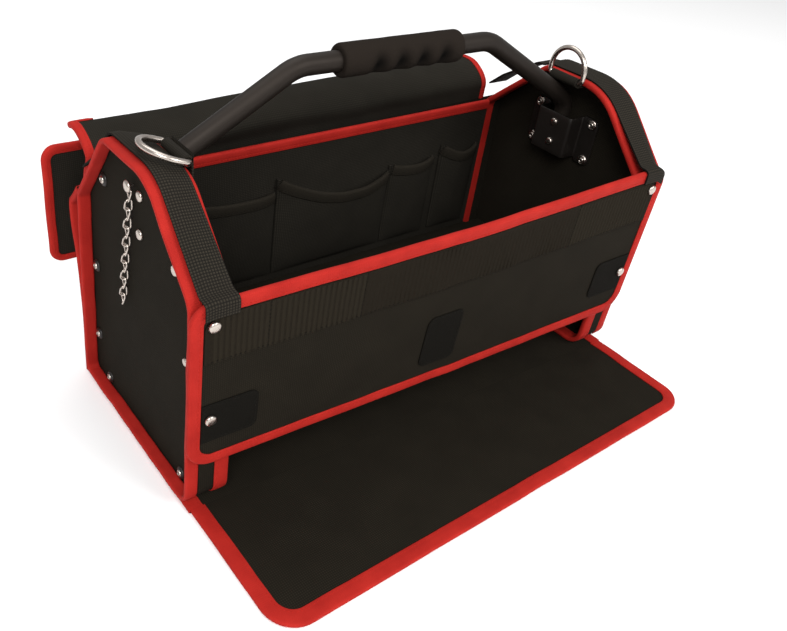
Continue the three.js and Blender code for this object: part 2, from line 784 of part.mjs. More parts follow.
// Pocket panel and the pockets on its front
const panelY = (x) => {
  const { half, yLeft, yRight } = pocketPanel;
  return THREE.MathUtils.mapLinear(x, -half, half, yLeft, yRight);
};
const panelPlace = withNormal((u, v) => new THREE.Vector3(u, panelY(u), v));
const panelRows = [pocketPanel.low, pocketPanel.high].map((v) => {
  return { v, lo: -pocketPanel.half, hi: pocketPanel.half };
});
piece("pocket_panel", sheet(panelRows, edgeColumns, panelPlace, halfCloth), "fabric");
const panelEdge = sheetEdge(panelRows, edgeColumns, ["end"]);
const panelTape = edgeTape(panelEdge, foldedTape(pocketPanel.tapeReach, halfCloth), panelPlace, false);
piece("pocket_panel_binding", panelTape, "binding");

// A pocket stands off the panel in an arch that is deepest at its sagging mouth.
for (const { name, from, to, left, middle, right, depth } of pockets) {
  const seam = -halfCloth - gap;
  const mouth = (t) => left * (1 - t) * (1 - 2 * t) + 4 * middle * t * (1 - t) + right * t * (2 * t - 1);
  const point = (t, v, y) => {
    const arch = Math.sin(Math.PI * t) ** pocket.archPower * Math.sqrt(v);
    const z = THREE.MathUtils.lerp(pocket.bottom, mouth(t), v);
    const x = THREE.MathUtils.lerp(from, to, t);
    return new THREE.Vector3(x, panelY(x) + y - depth * arch, z);
  };
  const rings = pocketRows.map((v) => {
    const inner = pocketColumns.map((t) => point(t, v, seam));
    const outer = pocketColumns.map((t) => point(t, v, seam - pocket.thick));
    return [...inner, ...outer.reverse()];
  });
  piece(name, loft(rings, stripCaps(pocketColumns.length)), "fabric");
}

// Handle: one bent tube from bracket to bracket, with a foam grip
const handleCorners = [
  { a: -handle.leg, b: handle.foot },
  { a: -handle.leg, b: handle.knee, r: handle.kneeRadius },
  { a: -bar.bend, b: bar.z, r: bar.bendRadius },
  { a: bar.bend, b: bar.z, r: bar.bendRadius },
  { a: handle.leg, b: handle.knee, r: handle.kneeRadius },
  { a: handle.leg, b: handle.foot },
];
const handlePlace = (x, z, across) => new THREE.Vector3(x, handle.y + across, z);
const handlePath = rounded(handleCorners, handle.stepAngle, false);
piece("handle_tube", wire(handlePath, handle.radius, handle.sides, handlePlace, false), "tube");

// Finger dents lie along the grip's underside, turned towards the front.
const dentAngle = Math.PI + THREE.MathUtils.degToRad(grip.dentTurn);
function gripRadius(x, angle) {
  const dents = gripDents.reduce((sum, at) => sum + Math.exp(-(((x - at) / grip.dentWidth) ** 2)), 0);
  return grip.radius - grip.dent * dents * Math.max(0, Math.cos(angle - dentAngle)) ** grip.dentPower;
}
function gripRing(x, radiusAt) {
  return Array.from({ length: grip.sides }, (_, j) => {
    const angle = (2 * Math.PI * j) / grip.sides;
    const r = radiusAt(angle);
    return new THREE.Vector3(x, handle.y + r * Math.sin(angle), bar.z + r * Math.cos(angle));
  });
}
const betweenDents = gripDents.slice(1).map((at, i) => (at + gripDents[i]) / 2);
const gripSpan = [...gripDents, ...betweenDents].sort((p, q) => p - q);
const gripRings = [
  gripRing(grip.from, () => grip.bore),
  gripRing(grip.from, () => grip.endRadius),
  gripRing(grip.from + grip.end, (angle) => gripRadius(grip.from + grip.end, angle)),
  ...gripSpan.map((x) => gripRing(x, (angle) => gripRadius(x, angle))),
  gripRing(grip.to - grip.end, (angle) => gripRadius(grip.to - grip.end, angle)),
  gripRing(grip.to, () => grip.endRadius),
  gripRing(grip.to, () => grip.bore),
];
piece("handle_grip", loft(gripRings, null), "foam");

// Hat-section bracket with its screws and rivets, on the inner face of each end panel
for (const side of Object.values(sides)) {
  const inside = (depth) => side.sign * (pan.panelInside - depth);
  const slab = (d0, d1, y0, y1, z0, z1) => block(inside(d0), inside(d1), y0, y1, z0, z1);
  const { seat, plate, depth, hatHalf, flangeHalf, low, high, flangeLow, flangeHigh } = bracket;
  const back = seat + plate;
  const walls = [-1, 1].flatMap((way) => {
    const edge = handle.y + way * hatHalf;
    const flange = slab(seat, back, edge - way * plate, handle.y + way * flangeHalf, flangeLow, flangeHigh);
    return [flange, slab(seat, depth, edge - way * plate, edge, low, high)];
  });
  const face = slab(depth - plate, depth, handle.y - hatHalf, handle.y + hatHalf, low, high);
  const inwards = new THREE.Vector3(-side.sign, 0, 0);
  const middle = (flangeLow + flangeHigh) / 2;
  const screws = [-1, 1].flatMap((wayY) => {
    return [-1, 1].map((wayZ) => {
      const y = handle.y + wayY * bracketScrew.dy;
      const at = new THREE.Vector3(inside(back - bracketScrew.sink), y, middle + wayZ * bracketScrew.dz);
      return dome(cupHead, at, inwards, bracketScrew.radius, bracketScrew.height);
    });
  });
  const rivets = [bracketRivet.low, bracketRivet.high].map((z) => {
    const at = new THREE.Vector3(inside(depth - bracketRivet.sink), bracketRivet.y, z);
    return dome(rivetHead, at, inwards, bracketRivet.radius, bracketRivet.height);
  });
  piece(`handle_bracket_${side.name}`, fused([...walls, face, ...screws, ...rivets]), "blackMetal");
}

// D-rings and the webbing tabs that hold them
const ringCorners = [
  { a: -ring.half, b: 0, r: ring.cornerRadius },
  { a: -ring.half, b: ring.height, r: ring.archRadius },
  { a: ring.half, b: ring.height, r: ring.archRadius },
  { a: ring.half, b: 0, r: ring.cornerRadius },
];
for (const side of Object.values(sides)) {
  const at = ringPlaces[side.name];
  const pivot = new THREE.Vector3(side.sign * at.x, at.y, at.z);
  const lean = THREE.MathUtils.degToRad(at.lean);
  const up = new THREE.Vector3(side.sign * Math.sin(lean), 0, Math.cos(lean));
  const out = new THREE.Vector3(side.sign * Math.cos(lean), 0, -Math.sin(lean));
  const place = (a, b, across) => {
    return pivot.clone().add(new THREE.Vector3(0, a, 0)).addScaledVector(up, b).addScaledVector(out, across);
  };
  const ringPath = rounded(ringCorners, ring.stepAngle, true);
  piece(`d_ring_${side.name}`, wire(ringPath, ring.wire, ring.sides, place, true), "chrome");
  const collar = new THREE.Shape().absarc(0, 0, tab.bore + webbing, 0, 2 * Math.PI);
  collar.holes.push(new THREE.Path().absarc(0, 0, tab.bore, 0, 2 * Math.PI));
  const along = { depth: 2 * tab.half, bevelEnabled: false, curveSegments: tab.curveSegments };
  const loop = new THREE.ExtrudeGeometry(collar, along);
  loop.rotateX(Math.PI / 2).translate(pivot.x, at.y + tab.half, at.z);
  piece(`d_ring_tab_${side.name}`, fused([loop, ...tabTail(side, at)]), "webbing");
}

// The tab's tail: under the gusset's top at the right, and down over its inner edge at the left.
function tabTail(side, at) {
  const strip = (x0, x1, z0, z1) => {
    return block(side.sign * x0, side.sign * x1, at.y - tab.half, at.y + tab.half, z0, z1);
  };
  if (side.name === "right") {
    const low = at.z - tab.bore - webbing - tab.tailDrop;
    return [strip(at.x - tab.tailOverlap, at.x + tab.tailLength, low, low + webbing)];
  }
  const face = at.x - tab.bore - webbing;
  const foot = at.z - tab.drop;
  return [strip(face, face + webbing, foot, at.z), strip(face, face + tab.tailLength, foot, foot + webbing)];
}

// Chain hanging down the left end from its rivet, its links joined where they cross
const linkHalf = link.width / 2;
const linkRound = linkHalf - link.flat;
const linkCorners = [
  { a: 0, b: -linkHalf, r: linkRound },
  { a: link.length, b: -linkHalf, r: linkRound },
  { a: link.length, b: linkHalf, r: linkRound },
  { a: 0, b: linkHalf, r: linkRound },
];
const linkPath = rounded(linkCorners, link.stepAngle, true);
const chainRun = new THREE.Vector3(0, chain.endY - chain.topY, chain.endZ - chain.topZ);
const chainWay = chainRun.clone().normalize();
const linkCount = Math.round((chainRun.length() + chain.overlap) / (link.length - chain.overlap));
const links = Array.from({ length: linkCount }, (_, i) => {
  const top = new THREE.Vector3(-chain.x, chain.topY, chain.topZ);
  top.addScaledVector(chainWay, i * (link.length - chain.overlap) - linkHalf);
  const spin = THREE.MathUtils.degToRad(i === 0 ? link.firstSpin : i % 2 ? link.oddSpin : link.evenSpin);
  const flat = new THREE.Vector3(1, 0, 0).cross(chainWay);
  const wide = flat.clone().applyAxisAngle(chainWay, spin);
  const thick = new THREE.Vector3().crossVectors(chainWay, wide);
  const place = (a, b, across) => {
    return top.clone().addScaledVector(chainWay, a).addScaledVector(wide, b).addScaledVector(thick, across);
  };
  return wire(linkPath, chain.wire, chain.wireSides, place, true);
});
piece("chain", fused(links), "chrome");

const shankProfile = [
  [0, chainRivet.seat],
  [chainRivet.shank, chainRivet.seat],
  [chainRivet.shank, chainRivet.neck],
  [chainRivet.head, chainRivet.neck],
  [chainRivet.crown, chainRivet.top - chainRivet.crownDrop],
  [0, chainRivet.top],
].map(([r, h]) => new THREE.Vector2(r, h));
const shank = new THREE.LatheGeometry(shankProfile, headSegments).rotateZ(Math.PI / 2);
piece("chain_rivet", shank.translate(0, chainRivet.y, chainRivet.z), "chrome");

// Fasteners on the end faces
for (const side of Object.values(sides)) {
  const outwards = new THREE.Vector3(side.sign, 0, 0);
  const seat = (y, z) => new THREE.Vector3(side.sign * (pan.outer + gap), y, z);
  for (const { name, y, z } of faceRivets) {
    const head = dome(rivetHead, seat(y, z), outwards, faceRivet.radius, faceRivet.height);
    piece(`face_rivet_${side.name}_${name}`, head, "chrome");
  }
  if (side.name === "right") continue;
  const smallSeat = seat(smallRivet.y, smallRivet.z);
  const small = dome(rivetHead, smallSeat, outwards, smallRivet.radius, smallRivet.height);
  piece("face_rivet_left_small", small, "chrome");
  for (const { name, y, z } of faceScrews) {
    const head = dome(cupHead, seat(y, z), outwards, faceScrew.radius, faceScrew.height);
    piece(`face_screw_left_${name}`, head, "blackMetal");
  }
}

export default bag;
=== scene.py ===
import math

import bmesh
import bpy
from mathutils import Matrix, Vector, noise


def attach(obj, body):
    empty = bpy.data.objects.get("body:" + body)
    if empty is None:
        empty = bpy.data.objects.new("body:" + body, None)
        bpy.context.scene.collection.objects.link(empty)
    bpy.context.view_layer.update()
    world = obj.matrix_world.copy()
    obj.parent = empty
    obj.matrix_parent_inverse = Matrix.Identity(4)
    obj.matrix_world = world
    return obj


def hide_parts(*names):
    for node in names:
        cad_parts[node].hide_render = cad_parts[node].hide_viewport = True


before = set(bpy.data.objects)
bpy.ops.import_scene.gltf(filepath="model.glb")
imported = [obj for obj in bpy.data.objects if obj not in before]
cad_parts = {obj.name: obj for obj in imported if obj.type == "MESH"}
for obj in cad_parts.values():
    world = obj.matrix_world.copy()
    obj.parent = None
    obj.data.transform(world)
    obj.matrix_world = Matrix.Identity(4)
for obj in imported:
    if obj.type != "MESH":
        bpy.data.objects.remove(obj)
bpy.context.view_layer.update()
mm = 0.001  # the pieces below are drawn in millimetres and stored in metres
print("frame loaded")


def linear(hexCode):  # sRGB hex to the linear colour that a shader takes
    parts = [int(hexCode[i:i + 2], 16) / 255 for i in (1, 3, 5)]
    return tuple(c / 12.92 if c <= 0.04045 else ((c + 0.055) / 1.055) ** 2.4 for c in parts) + (1.0,)


def addNode(tree, kind, links=None, **settings):  # one node: its settings, then its inputs' values or links
    node = tree.nodes.new(kind)
    for name, value in settings.items():
        setattr(node, name, value)
    for key, source in (links or {}).items():
        if isinstance(source, bpy.types.NodeSocket):
            tree.links.new(source, node.inputs[key])
        else:
            node.inputs[key].default_value = source
    return node


def newMaterial(name, **sockets):  # a Principled material with its constant sockets set
    material = bpy.data.materials.new(name)
    material.use_nodes = True
    shader = material.node_tree.nodes["Principled BSDF"]
    for key, value in sockets.items():
        shader.inputs[key.replace("_", " ")].default_value = value
    return material, material.node_tree, shader


def clothMaterial(name, roughness, gloss):  # a fibre's shader, and the UV map of the cut piece
    material, tree, shader = newMaterial(name, Roughness=roughness, IOR=1.45, Specular_IOR_Level=gloss)
    return material, tree, shader, addNode(tree, "ShaderNodeUVMap", uv_map="cut").outputs["UV"]


def toned(tree, shader, tone, hexDark, hexLight, height=None, strength=0.0, depth=0.0):
    # a colour between two tones and, where a height is given, a relief with its depth in mm
    ends = {0: tone, 6: linear(hexDark), 7: linear(hexLight)}
    ramp = addNode(tree, "ShaderNodeMix", ends, data_type="RGBA")
    tree.links.new(ramp.outputs[2], shader.inputs["Base Color"])
    if height is not None:
        relief = {"Height": height, "Strength": strength, "Distance": depth * mm}
        bump = addNode(tree, "ShaderNodeBump", relief)
        tree.links.new(bump.outputs["Normal"], shader.inputs["Normal"])


def threadWaves(tree, uv, pitch):  # two crossing thread rows and their product, pitch in mm
    rows = []
    for turn in (0.0, math.pi / 2):
        turned = addNode(tree, "ShaderNodeMapping", {"Vector": uv, "Rotation": (0, 0, turn)})
        scale = math.pi / (10 * pitch * mm)  # a wave texture has one band for each pi / 10 units
        wave = addNode(tree, "ShaderNodeTexWave", {"Vector": turned.outputs["Vector"], "Scale": scale},
                       wave_type="BANDS", bands_direction="X", wave_profile="SIN")
        rows.append(wave.outputs["Fac"])
    return rows[0], addNode(tree, "ShaderNodeMath", {0: rows[0], 1: rows[1]}, operation="MULTIPLY").outputs[0]


weave = dict(pitch=2.1, relief=0.35)  # webbing strands: mm from one to the next, and their height


# Woven polyester: dull, near black and a little warm, with a fine even weave and faint wear
def wovenPolyester(name, hexDark, hexLight):
    material, tree, shader, uv = clothMaterial(name, roughness=0.95, gloss=0.08)
    crossed = threadWaves(tree, uv, 1.7)[1]  # real threads are 0.5 mm apart: drawn coarser to show
    wear = addNode(tree, "ShaderNodeTexNoise", {"Vector": uv, "Scale": 28.0, "Detail": 4.0}).outputs["Fac"]
    tone = addNode(tree, "ShaderNodeMath", {0: wear, 1: crossed}, operation="MULTIPLY").outputs[0]
    toned(tree, shader, tone, hexDark, hexLight, crossed, strength=0.25, depth=0.4)
    return material


# Grosgrain polyester tape: bright red, matt, with fine ribs across it and slight fading
def grosgrainTape():
    material, tree, shader, uv = clothMaterial("grosgrainTape", roughness=0.8, gloss=0.2)
    ribs = threadWaves(tree, uv, 1.5)[0]  # real ribs are 0.7 mm apart: drawn coarser to show
    fade = addNode(tree, "ShaderNodeTexNoise", {"Vector": uv, "Scale": 45.0, "Detail": 3.0}).outputs["Fac"]
    toned(tree, shader, fade, "#88110C", "#B1261D", ribs, strength=0.3, depth=0.3)
    return material


# Woven webbing and loop fastener: dark brown-black, with a dull broken surface
def darkWebbing(name, hexDark, hexLight, grain, strength):
    material, tree, shader, uv = clothMaterial(name, roughness=0.95, gloss=0.06)
    rough = addNode(tree, "ShaderNodeTexNoise", {"Vector": uv, "Scale": 1 / (grain * mm), "Detail": 3.0})
    fuzz = rough.outputs["Fac"]
    toned(tree, shader, fuzz, hexDark, hexLight, fuzz, strength, depth=0.5)
    return material


# Basket-woven polypropylene webbing: raised dark strands with deep gaps between them
def basketWebbing():
    material, tree, shader, uv = clothMaterial("polypropyleneWebbing", roughness=0.85, gloss=0.15)
    toned(tree, shader, threadWaves(tree, uv, weave["pitch"])[1], "#13110D", "#322D25")
    return material


# Metals, paint and foam: one even colour, with a roughness that varies a little from handling
def smoothFinish(name, hexCode, roughness, vary, metallic, grain, strength=0.0, **sockets):
    material, tree, shader = newMaterial(name, Base_Color=linear(hexCode), Metallic=metallic, **sockets)
    place = addNode(tree, "ShaderNodeTexCoord").outputs["Object"]
    handled = addNode(tree, "ShaderNodeTexNoise", {"Vector": place, "Scale": 1 / (grain * mm), "Detail": 3.0})
    wear = handled.outputs["Fac"]
    limits = {"Value": wear, "To Min": roughness - vary, "To Max": roughness + vary}
    rough = addNode(tree, "ShaderNodeMapRange", limits)
    tree.links.new(rough.outputs["Result"], shader.inputs["Roughness"])
    if strength:
        bump = addNode(tree, "ShaderNodeBump", {"Height": wear, "Strength": strength, "Distance": 0.4 * mm})
        tree.links.new(bump.outputs["Normal"], shader.inputs["Normal"])
    return material


# Polyester thread: dull
def threadMaterial(name, hexCode):
    return newMaterial(name, Base_Color=linear(hexCode), Roughness=0.9, Specular_IOR_Level=0.1)[0]


fabric = wovenPolyester("wovenPolyester", "#17140F", "#322D24")
paintedLightFabric = wovenPolyester("liningPolyester", "#1B1915", "#3B3730")  # the same cloth in a lighter colour: painted light on the lid and the shaded pockets
tapeRed = grosgrainTape()
webbing = basketWebbing()
hemTape = darkWebbing("ribbonTape", "#161410", "#2A2620", grain=1.2, strength=0.3)
bandWebbing = darkWebbing("bandWebbing", "#14110D", "#241F18", grain=2.0, strength=0.2)
ribWebbing = darkWebbing("ribbedWebbing", "#191611", "#29241C", grain=2.0, strength=0.2)
loopFastener = darkWebbing("loopFastener", "#0A0908", "#191713", grain=1.0, strength=0.6)
blackThread = threadMaterial("blackPolyesterThread", "#14120E")
redThread = threadMaterial("redPolyesterThread", "#A3221A")
satinTube = smoothFinish("powderCoatedSteel", "#191512", roughness=0.5, vary=0.06, metallic=0.0, grain=9.0,
                         IOR=1.5, Specular_IOR_Level=0.25,
                         Specular_Tint=linear("#FFEFE2"))  # satin, with a soft warm highlight
foam = dict(bare="#211C18", shadedDent="#080706")
evaFoam = smoothFinish("evaFoam", foam["bare"], roughness=0.94, vary=0.04, metallic=0.0, grain=1.1,
                       strength=0.5, IOR=1.45, Specular_IOR_Level=0.06)  # matt, finely pored, with painted shade darkening its dents
foamTree = evaFoam.node_tree
# painted shade: the foam's colour darkened towards a near-black tone in its dents
dentShade = addNode(foamTree, "ShaderNodeAttribute", attribute_name="grime").outputs["Fac"]
toned(foamTree, foamTree.nodes["Principled BSDF"], dentShade, foam["bare"], foam["shadedDent"])
nickel = smoothFinish("nickelPlate", "#BDB3AA", roughness=0.28, vary=0.06, metallic=1.0,
                      grain=6.0)  # bright, slightly warm
blackSteel = smoothFinish("blackenedSteel", "#1E1A17", roughness=0.42, vary=0.08, metallic=0.3,
                          grain=7.0)  # dark, shiny at its edges
print("materials made")


def smoothed(mesh, degrees):  # smooth faces, with edges sharper than this kept crisp
    for polygon in mesh.polygons:
        polygon.use_smooth = True
    mesh.set_sharp_from_angle(angle=math.radians(degrees))


def meshPiece(name, vertices, faces, material, corners=None, smooth=45):  # corners: their UV pairs in mm
    mesh = bpy.data.meshes.new(name)
    mesh.from_pydata([tuple(c * mm for c in v) for v in vertices], [], faces)
    if corners:
        layer = mesh.uv_layers.new(name="cut")
        for entry, (u, v) in zip(layer.data, corners):
            entry.uv = (u * mm, v * mm)
    mesh.materials.append(material)
    smoothed(mesh, smooth)
    piece = bpy.data.objects.new(name, mesh)
    bpy.context.scene.collection.objects.link(piece)
    return piece


def gridPiece(name, grid, uv, material, loopRows=False, loopColumns=False, caps=False, smooth=45):
    # rows of points joined by quads; uv has one row or column more where the grid closes on itself
    rows, columns = len(grid), len(grid[0])
    faces, corners = [], []
    for i in range(rows if loopRows else rows - 1):
        for j in range(columns if loopColumns else columns - 1):
            cells = ((i, j), (i, j + 1), (i + 1, j + 1), (i + 1, j))
            faces.append([(r % rows) * columns + c % columns for r, c in cells])
            corners += [uv[r][c] for r, c in cells]
    if caps:
        for row in (0, rows - 1):
            faces.append([row * columns + j for j in range(columns)])
            corners += [uv[row][j] for j in range(columns)]
    piece = meshPiece(name, [p for row in grid for p in row], faces, material, corners, smooth)
    if loopColumns:  # a closed body: all faces turned outwards
        work = bmesh.new()
        work.from_mesh(piece.data)
        bmesh.ops.recalc_face_normals(work, faces=work.faces)
        work.to_mesh(piece.data)
        work.free()
        piece.data.set_sharp_from_angle(angle=math.radians(smooth))
    return piece


def settle(piece):  # the modifiers' result becomes the plain mesh
    graph = bpy.context.evaluated_depsgraph_get()
    piece.data = bpy.data.meshes.new_from_object(piece.evaluated_get(graph))
    piece.data.name = piece.name
    piece.modifiers.clear()
    return piece


def thickened(piece, thick, edge=0.0, even=True):  # a wall about its middle surface, its rim eased
    wall = piece.modifiers.new("wall", "SOLIDIFY")
    wall.thickness = thick * mm
    wall.offset = 0
    wall.use_even_offset = even
    if edge:
        ease = piece.modifiers.new("ease", "BEVEL")
        ease.width = edge * mm
        ease.segments = 2
        ease.limit_method = "ANGLE"
        ease.angle_limit = math.radians(60)
    settle(piece).data.set_sharp_from_angle(angle=math.radians(50))
    return piece


def standFor(piece, slot, nodes, body="bag"):  # the piece moves with its body and is shown for its CAD nodes
    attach(piece, body)
    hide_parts(*nodes)
    return piece


def clamp(share):
    return min(1, max(0, share))


def spread(lo, hi, count):
    return [lo + (hi - lo) * k / count for k in range(count + 1)]


def closerAtEnds(lo, hi, count):
    return [lo + (hi - lo) * (0.5 - 0.5 * math.cos(math.pi * k / count)) for k in range(count + 1)]


def cornerArcs(corners, loop, step=0.12):  # flat corners (a, b, radius) as arcs of (a, b, normal a, normal b)
    arcs = []
    for i, (a, b, r) in enumerate(corners):
        before, after = corners[i - 1], corners[(i + 1) % len(corners)]
        into = Vector((a - before[0], b - before[1]))
        out = Vector((after[0] - a, after[1] - b))
        if not loop and i == 0:
            into = out
        if not loop and i == len(corners) - 1:
            out = into
        into, out = into.normalized(), out.normalized()
        turn = math.atan2(into.x * out.y - into.y * out.x, into.dot(out))
        heading = math.atan2(into.y, into.x)
        way = math.copysign(1, turn)
        middle = heading + turn / 2 + math.pi / 2
        reach = way * r / math.cos(turn / 2)
        steps = max(1, math.ceil(abs(turn) / step)) if r else 0
        arc = []
        for k in range(steps + 1):
            angle = heading + (turn * k / steps if steps else turn / 2) + math.pi / 2
            na, nb = math.cos(angle), math.sin(angle)
            arc.append((a + math.cos(middle) * reach - na * way * r,
                        b + math.sin(middle) * reach - nb * way * r, na, nb))
        arcs.append(arc)
    return arcs


def filled(stations, pitch, loop):  # more stations along the straights
    run = stations + stations[:1] if loop else stations
    dense = []
    for p, q in zip(run, run[1:]):
        parts = max(1, math.ceil(math.dist(p[:2], q[:2]) / pitch))
        dense += [tuple(c + (d - c) * k / parts for c, d in zip(p, q)) for k in range(parts)]
    return dense if loop else dense + [run[-1]]


def boxCorners(lo, hi, low, high, lowRadius, highRadius):  # four rounded corners
    return [(lo, low, lowRadius), (hi, low, lowRadius), (hi, high, highRadius), (lo, high, highRadius)]


def flatPath(corners, loop, pitch=5.0, step=0.12):
    return filled([s for arc in cornerArcs(corners, loop, step) for s in arc], pitch, loop)


def smoothRun(points, pitch):  # an even curve through points of any dimension
    dense = []
    for i in range(len(points) - 1):
        p0, p1, p2, p3 = (points[min(max(i + k, 0), len(points) - 1)] for k in (-1, 0, 1, 2))
        parts = max(1, math.ceil(math.dist(p1[:2], p2[:2]) / pitch))
        for k in range(parts):
            t = k / parts
            dense.append(tuple(
                0.5 * (2 * b + (c - a) * t + (2 * a - 5 * b + 4 * c - d) * t ** 2
                       + (3 * b - a - 3 * c + d) * t ** 3)
                for a, b, c, d in zip(p0, p1, p2, p3)))
    return dense + [points[-1]]


def eased(stations, rounds):  # bends rounded off by averaging neighbours, the ends kept
    for _ in range(rounds):
        threes = zip(stations, stations[1:], stations[2:])
        middle = [tuple((a + 2 * b + c) / 4 for a, b, c in zip(*three)) for three in threes]
        stations = stations[:1] + middle + stations[-1:]
    return stations


def cornerInset(v, radius):  # how far a rounded corner draws the edge in, at a height above its end
    return radius - math.sqrt(max(0, radius ** 2 - (radius - v) ** 2)) if v < radius else 0


def edgeInset(v, low, high, lowRadius, highRadius):  # the same between a low and a high end
    return max(cornerInset(v - low, lowRadius), cornerInset(high - v, highRadius))


def raised(place, u, v, lift, step=0.4):  # a point off a surface that gives a place for each flat (u, v)
    p = place(u, v)
    alongU = place(u + step, v) - place(u - step, v)
    alongV = place(u, v + step) - place(u, v - step)
    return p + alongU.cross(alongV).normalized() * lift


def slack(u, v, size, depth, seed):  # soft unevenness of sewn cloth
    return depth * noise.noise(Vector((u / size, v / size, seed)))


def clothSheet(name, node, rows, place, thick, material, columns, lift=0.0, edge=0.0, fixed=None,
               slot="fabric"):
    # rows: (v, from u, to u); where they jump in width, columns between the fixed places run straight through
    grid, uv = [], []
    for v, lo, hi in rows:
        us = spread(lo, hi, columns)
        if fixed:
            us = spread(lo, fixed[0], 6)[:-1] + spread(*fixed, columns)[:-1] + spread(fixed[1], hi, 6)
        grid.append([raised(place, u, v, lift) for u in us])
        uv.append([(u, v) for u in us])
    piece = thickened(gridPiece(name, grid, uv, material), thick, edge, even=not fixed)
    return standFor(piece, slot, [node])


tape = dict(gap=0.3, thick=1.2, groove=0.3, puff=0.15, puffAt=0.4, fold=1.0, nose=0.7, noseSteps=8, seam=2.2,
            seamLift=1.3, flat=3.6, cutIn=0.7, cutDrop=0.1, cutSide=0.5, floorRise=0.02)


def tapeSection(reach, half, onFloor=False):  # inset from the edge and lift off the sheet, folded round it
    near = half + tape["gap"]
    far = near + tape["thick"]
    fold, gap = tape["fold"], tape["gap"]
    # the leg runs from its cut edge, past the seam, to the fold
    leg = [(reach, near), (reach, far - tape["cutSide"]), (reach - tape["cutIn"], far - tape["cutDrop"]),
           (reach - tape["seam"], far - tape["groove"]), (reach - tape["flat"], far),
           (reach * tape["puffAt"], far + tape["puff"]), (fold, far)]
    low = -half if onFloor else -far
    back = -gap - tape["thick"]
    nose = []
    for k in range(1, tape["noseSteps"]):
        angle = math.pi / 2 - math.pi * k / tape["noseSteps"]
        nose.append((fold + (back - fold) * math.cos(angle) ** tape["nose"],
                     (far + low) / 2 + (far - low) / 2 * math.sin(angle)))
    if onFloor:
        return leg + nose + [(fold, low), (-gap, low + tape["floorRise"]), (-gap, near)]
    under = [(inset, -lift) for inset, lift in reversed(leg)]
    return leg + nose + under + [(-gap, -near), (-gap, near)]


def swept(name, stations, section, at, material, loop, closed=True):  # a section along stations, and its run
    grid, uv, run, around = [], [], 0.0, [0.0]
    for p, q in zip(section, section[1:] + section[:1]):
        around.append(around[-1] + math.dist(p, q))
    previous = stations[0]
    for station in stations + (stations[:1] if loop else []):
        run += math.dist(station[:2], previous[:2])
        previous = station
        uv.append([(run, w) for w in around])
        grid.append([at(station, *point) for point in section])
    if loop:
        grid.pop()
    return gridPiece(name, grid, uv, material, loop, closed, not loop, smooth=60), run


def offEdge(place, station, inset, lift):  # a point inside an edge and off its surface
    a, b, na, nb = station
    return raised(place, a + na * inset, b + nb * inset, lift)


def tapeRun(name, stations, section, place, loop, material):
    def at(station, inset, lift):
        return offEdge(place, station, inset, lift)
    return swept(name, stations, section, at, material, loop)[0]


stitchRuns = {"black": [], "red": []}  # runs of (place, outward) that the thread rows follow


def sewnRun(stations, inset, place, lift):  # points off a surface, each with its way out
    run = []
    for station in stations:
        low = offEdge(place, station, inset, lift)
        run.append((low, (offEdge(place, station, inset, lift + 1) - low).normalized()))
    return run


def sewLine(colour, stations, inset, place, lift, loop):
    stitchRuns[colour].append((sewnRun(stations, inset, place, lift), loop))


def boundEdge(name, node, stations, reach, cloth, place, loop, faces=(1,), onFloor=False):
    # red tape along an edge, with a seam on each face named: 1 where the surface's normal points, or -1
    strip = tapeRun(name, stations, tapeSection(reach, cloth / 2, onFloor), place, loop, tapeRed)
    for face in faces:
        sewLine("red", stations, reach - tape["seam"], place, face * (cloth / 2 + tape["seamLift"]), loop)
    return standFor(strip, "binding", [node])


def boundSides(name, node, half, ends, reach, cloth, place, face, onFloor=False):  # the left and right edges
    strips = []
    for side, way in (("left", -1), ("right", 1)):
        first, last = ends[::-way]
        edge = flatPath([(way * half, first, 0), (way * half, last, 0)], False)
        title = name + side.capitalize()
        strips.append(boundEdge(title, node + side, edge, reach, cloth, place, False, (face,), onFloor))
    return strips


# End pans: two faces with a gusset round each, bound in red at both edges
pan = dict(inner=207, outer=231, panelInside=228.3, wall=2.4, sagStart=227.5, sagFrom=0.1, sagTo=0.6,
           corners=[(-95, 4.6, 16), (-101, 194, 18), (-38, 257, 26), (32, 256, 14), (88, 187, 12),
                    (99, 4.6, 8)],
           crown=2, shoulder=4, pitch=4.0, pucker=(40, 0.3), puckerStep=60, bindingReach=11,
           finFrom=231.3, finTo=242, finUnder=-3.7, finOver=0.4, finPowers=(0.45, 0.6), finSway=0.5,
           swaySize=26, finSeam=2.4, finSeamLift=0.35, panelFlat=(0.2, 0.252), panelGap=0.3, panelTip=0.02,
           panelSlack=(70, 0.5), slackFrom=-96, slackTo=98, slackFade=30, slackSeed=3)
sides = dict(left=dict(sign=-1, sag=5.5, drop=1, back=0, up=0, crown=40, hemShift=0),
             right=dict(sign=1, sag=1, drop=4, back=12, up=10, crown=60, hemShift=6))


def panArcs(side):
    corners = list(pan["corners"])
    a, b, r = corners[pan["shoulder"]]
    corners[pan["shoulder"]] = (a + side["back"], b + side["up"], r)
    corners[pan["crown"]] = (*corners[pan["crown"]][:2], side["crown"])
    return cornerArcs(corners, True)


def sagInwards(x):  # the rim sags more, the further in from the end
    return max(0, (pan["sagStart"] - x) / (pan["sagStart"] - pan["inner"]))


def panPlace(side):  # stations round the pan, and the place of one at a distance out along X and a lift
    stations = filled([s for arc in panArcs(side) for s in arc], pan["pitch"], True)

    def at(station, x, lift):
        a, b, na, nb = station
        share = clamp((nb - pan["sagFrom"]) / (pan["sagTo"] - pan["sagFrom"]))
        r = lift - side["sag"] * share * sagInwards(x) + slack(a, b, *pan["pucker"], x / pan["puckerStep"])
        return Vector((side["sign"] * x, a + na * r, b + nb * r))
    return stations, at


def panSweep(name, side, section, material, closed=True, depth=0.0):  # depth: how far the run sways along X
    stations, at = panPlace(side)

    def swayed(station, x, lift):
        return at(station, x + slack(*station[:2], pan["swaySize"], depth, side["sign"]), lift)
    return swept(name, stations, section, swayed, material, True, closed)


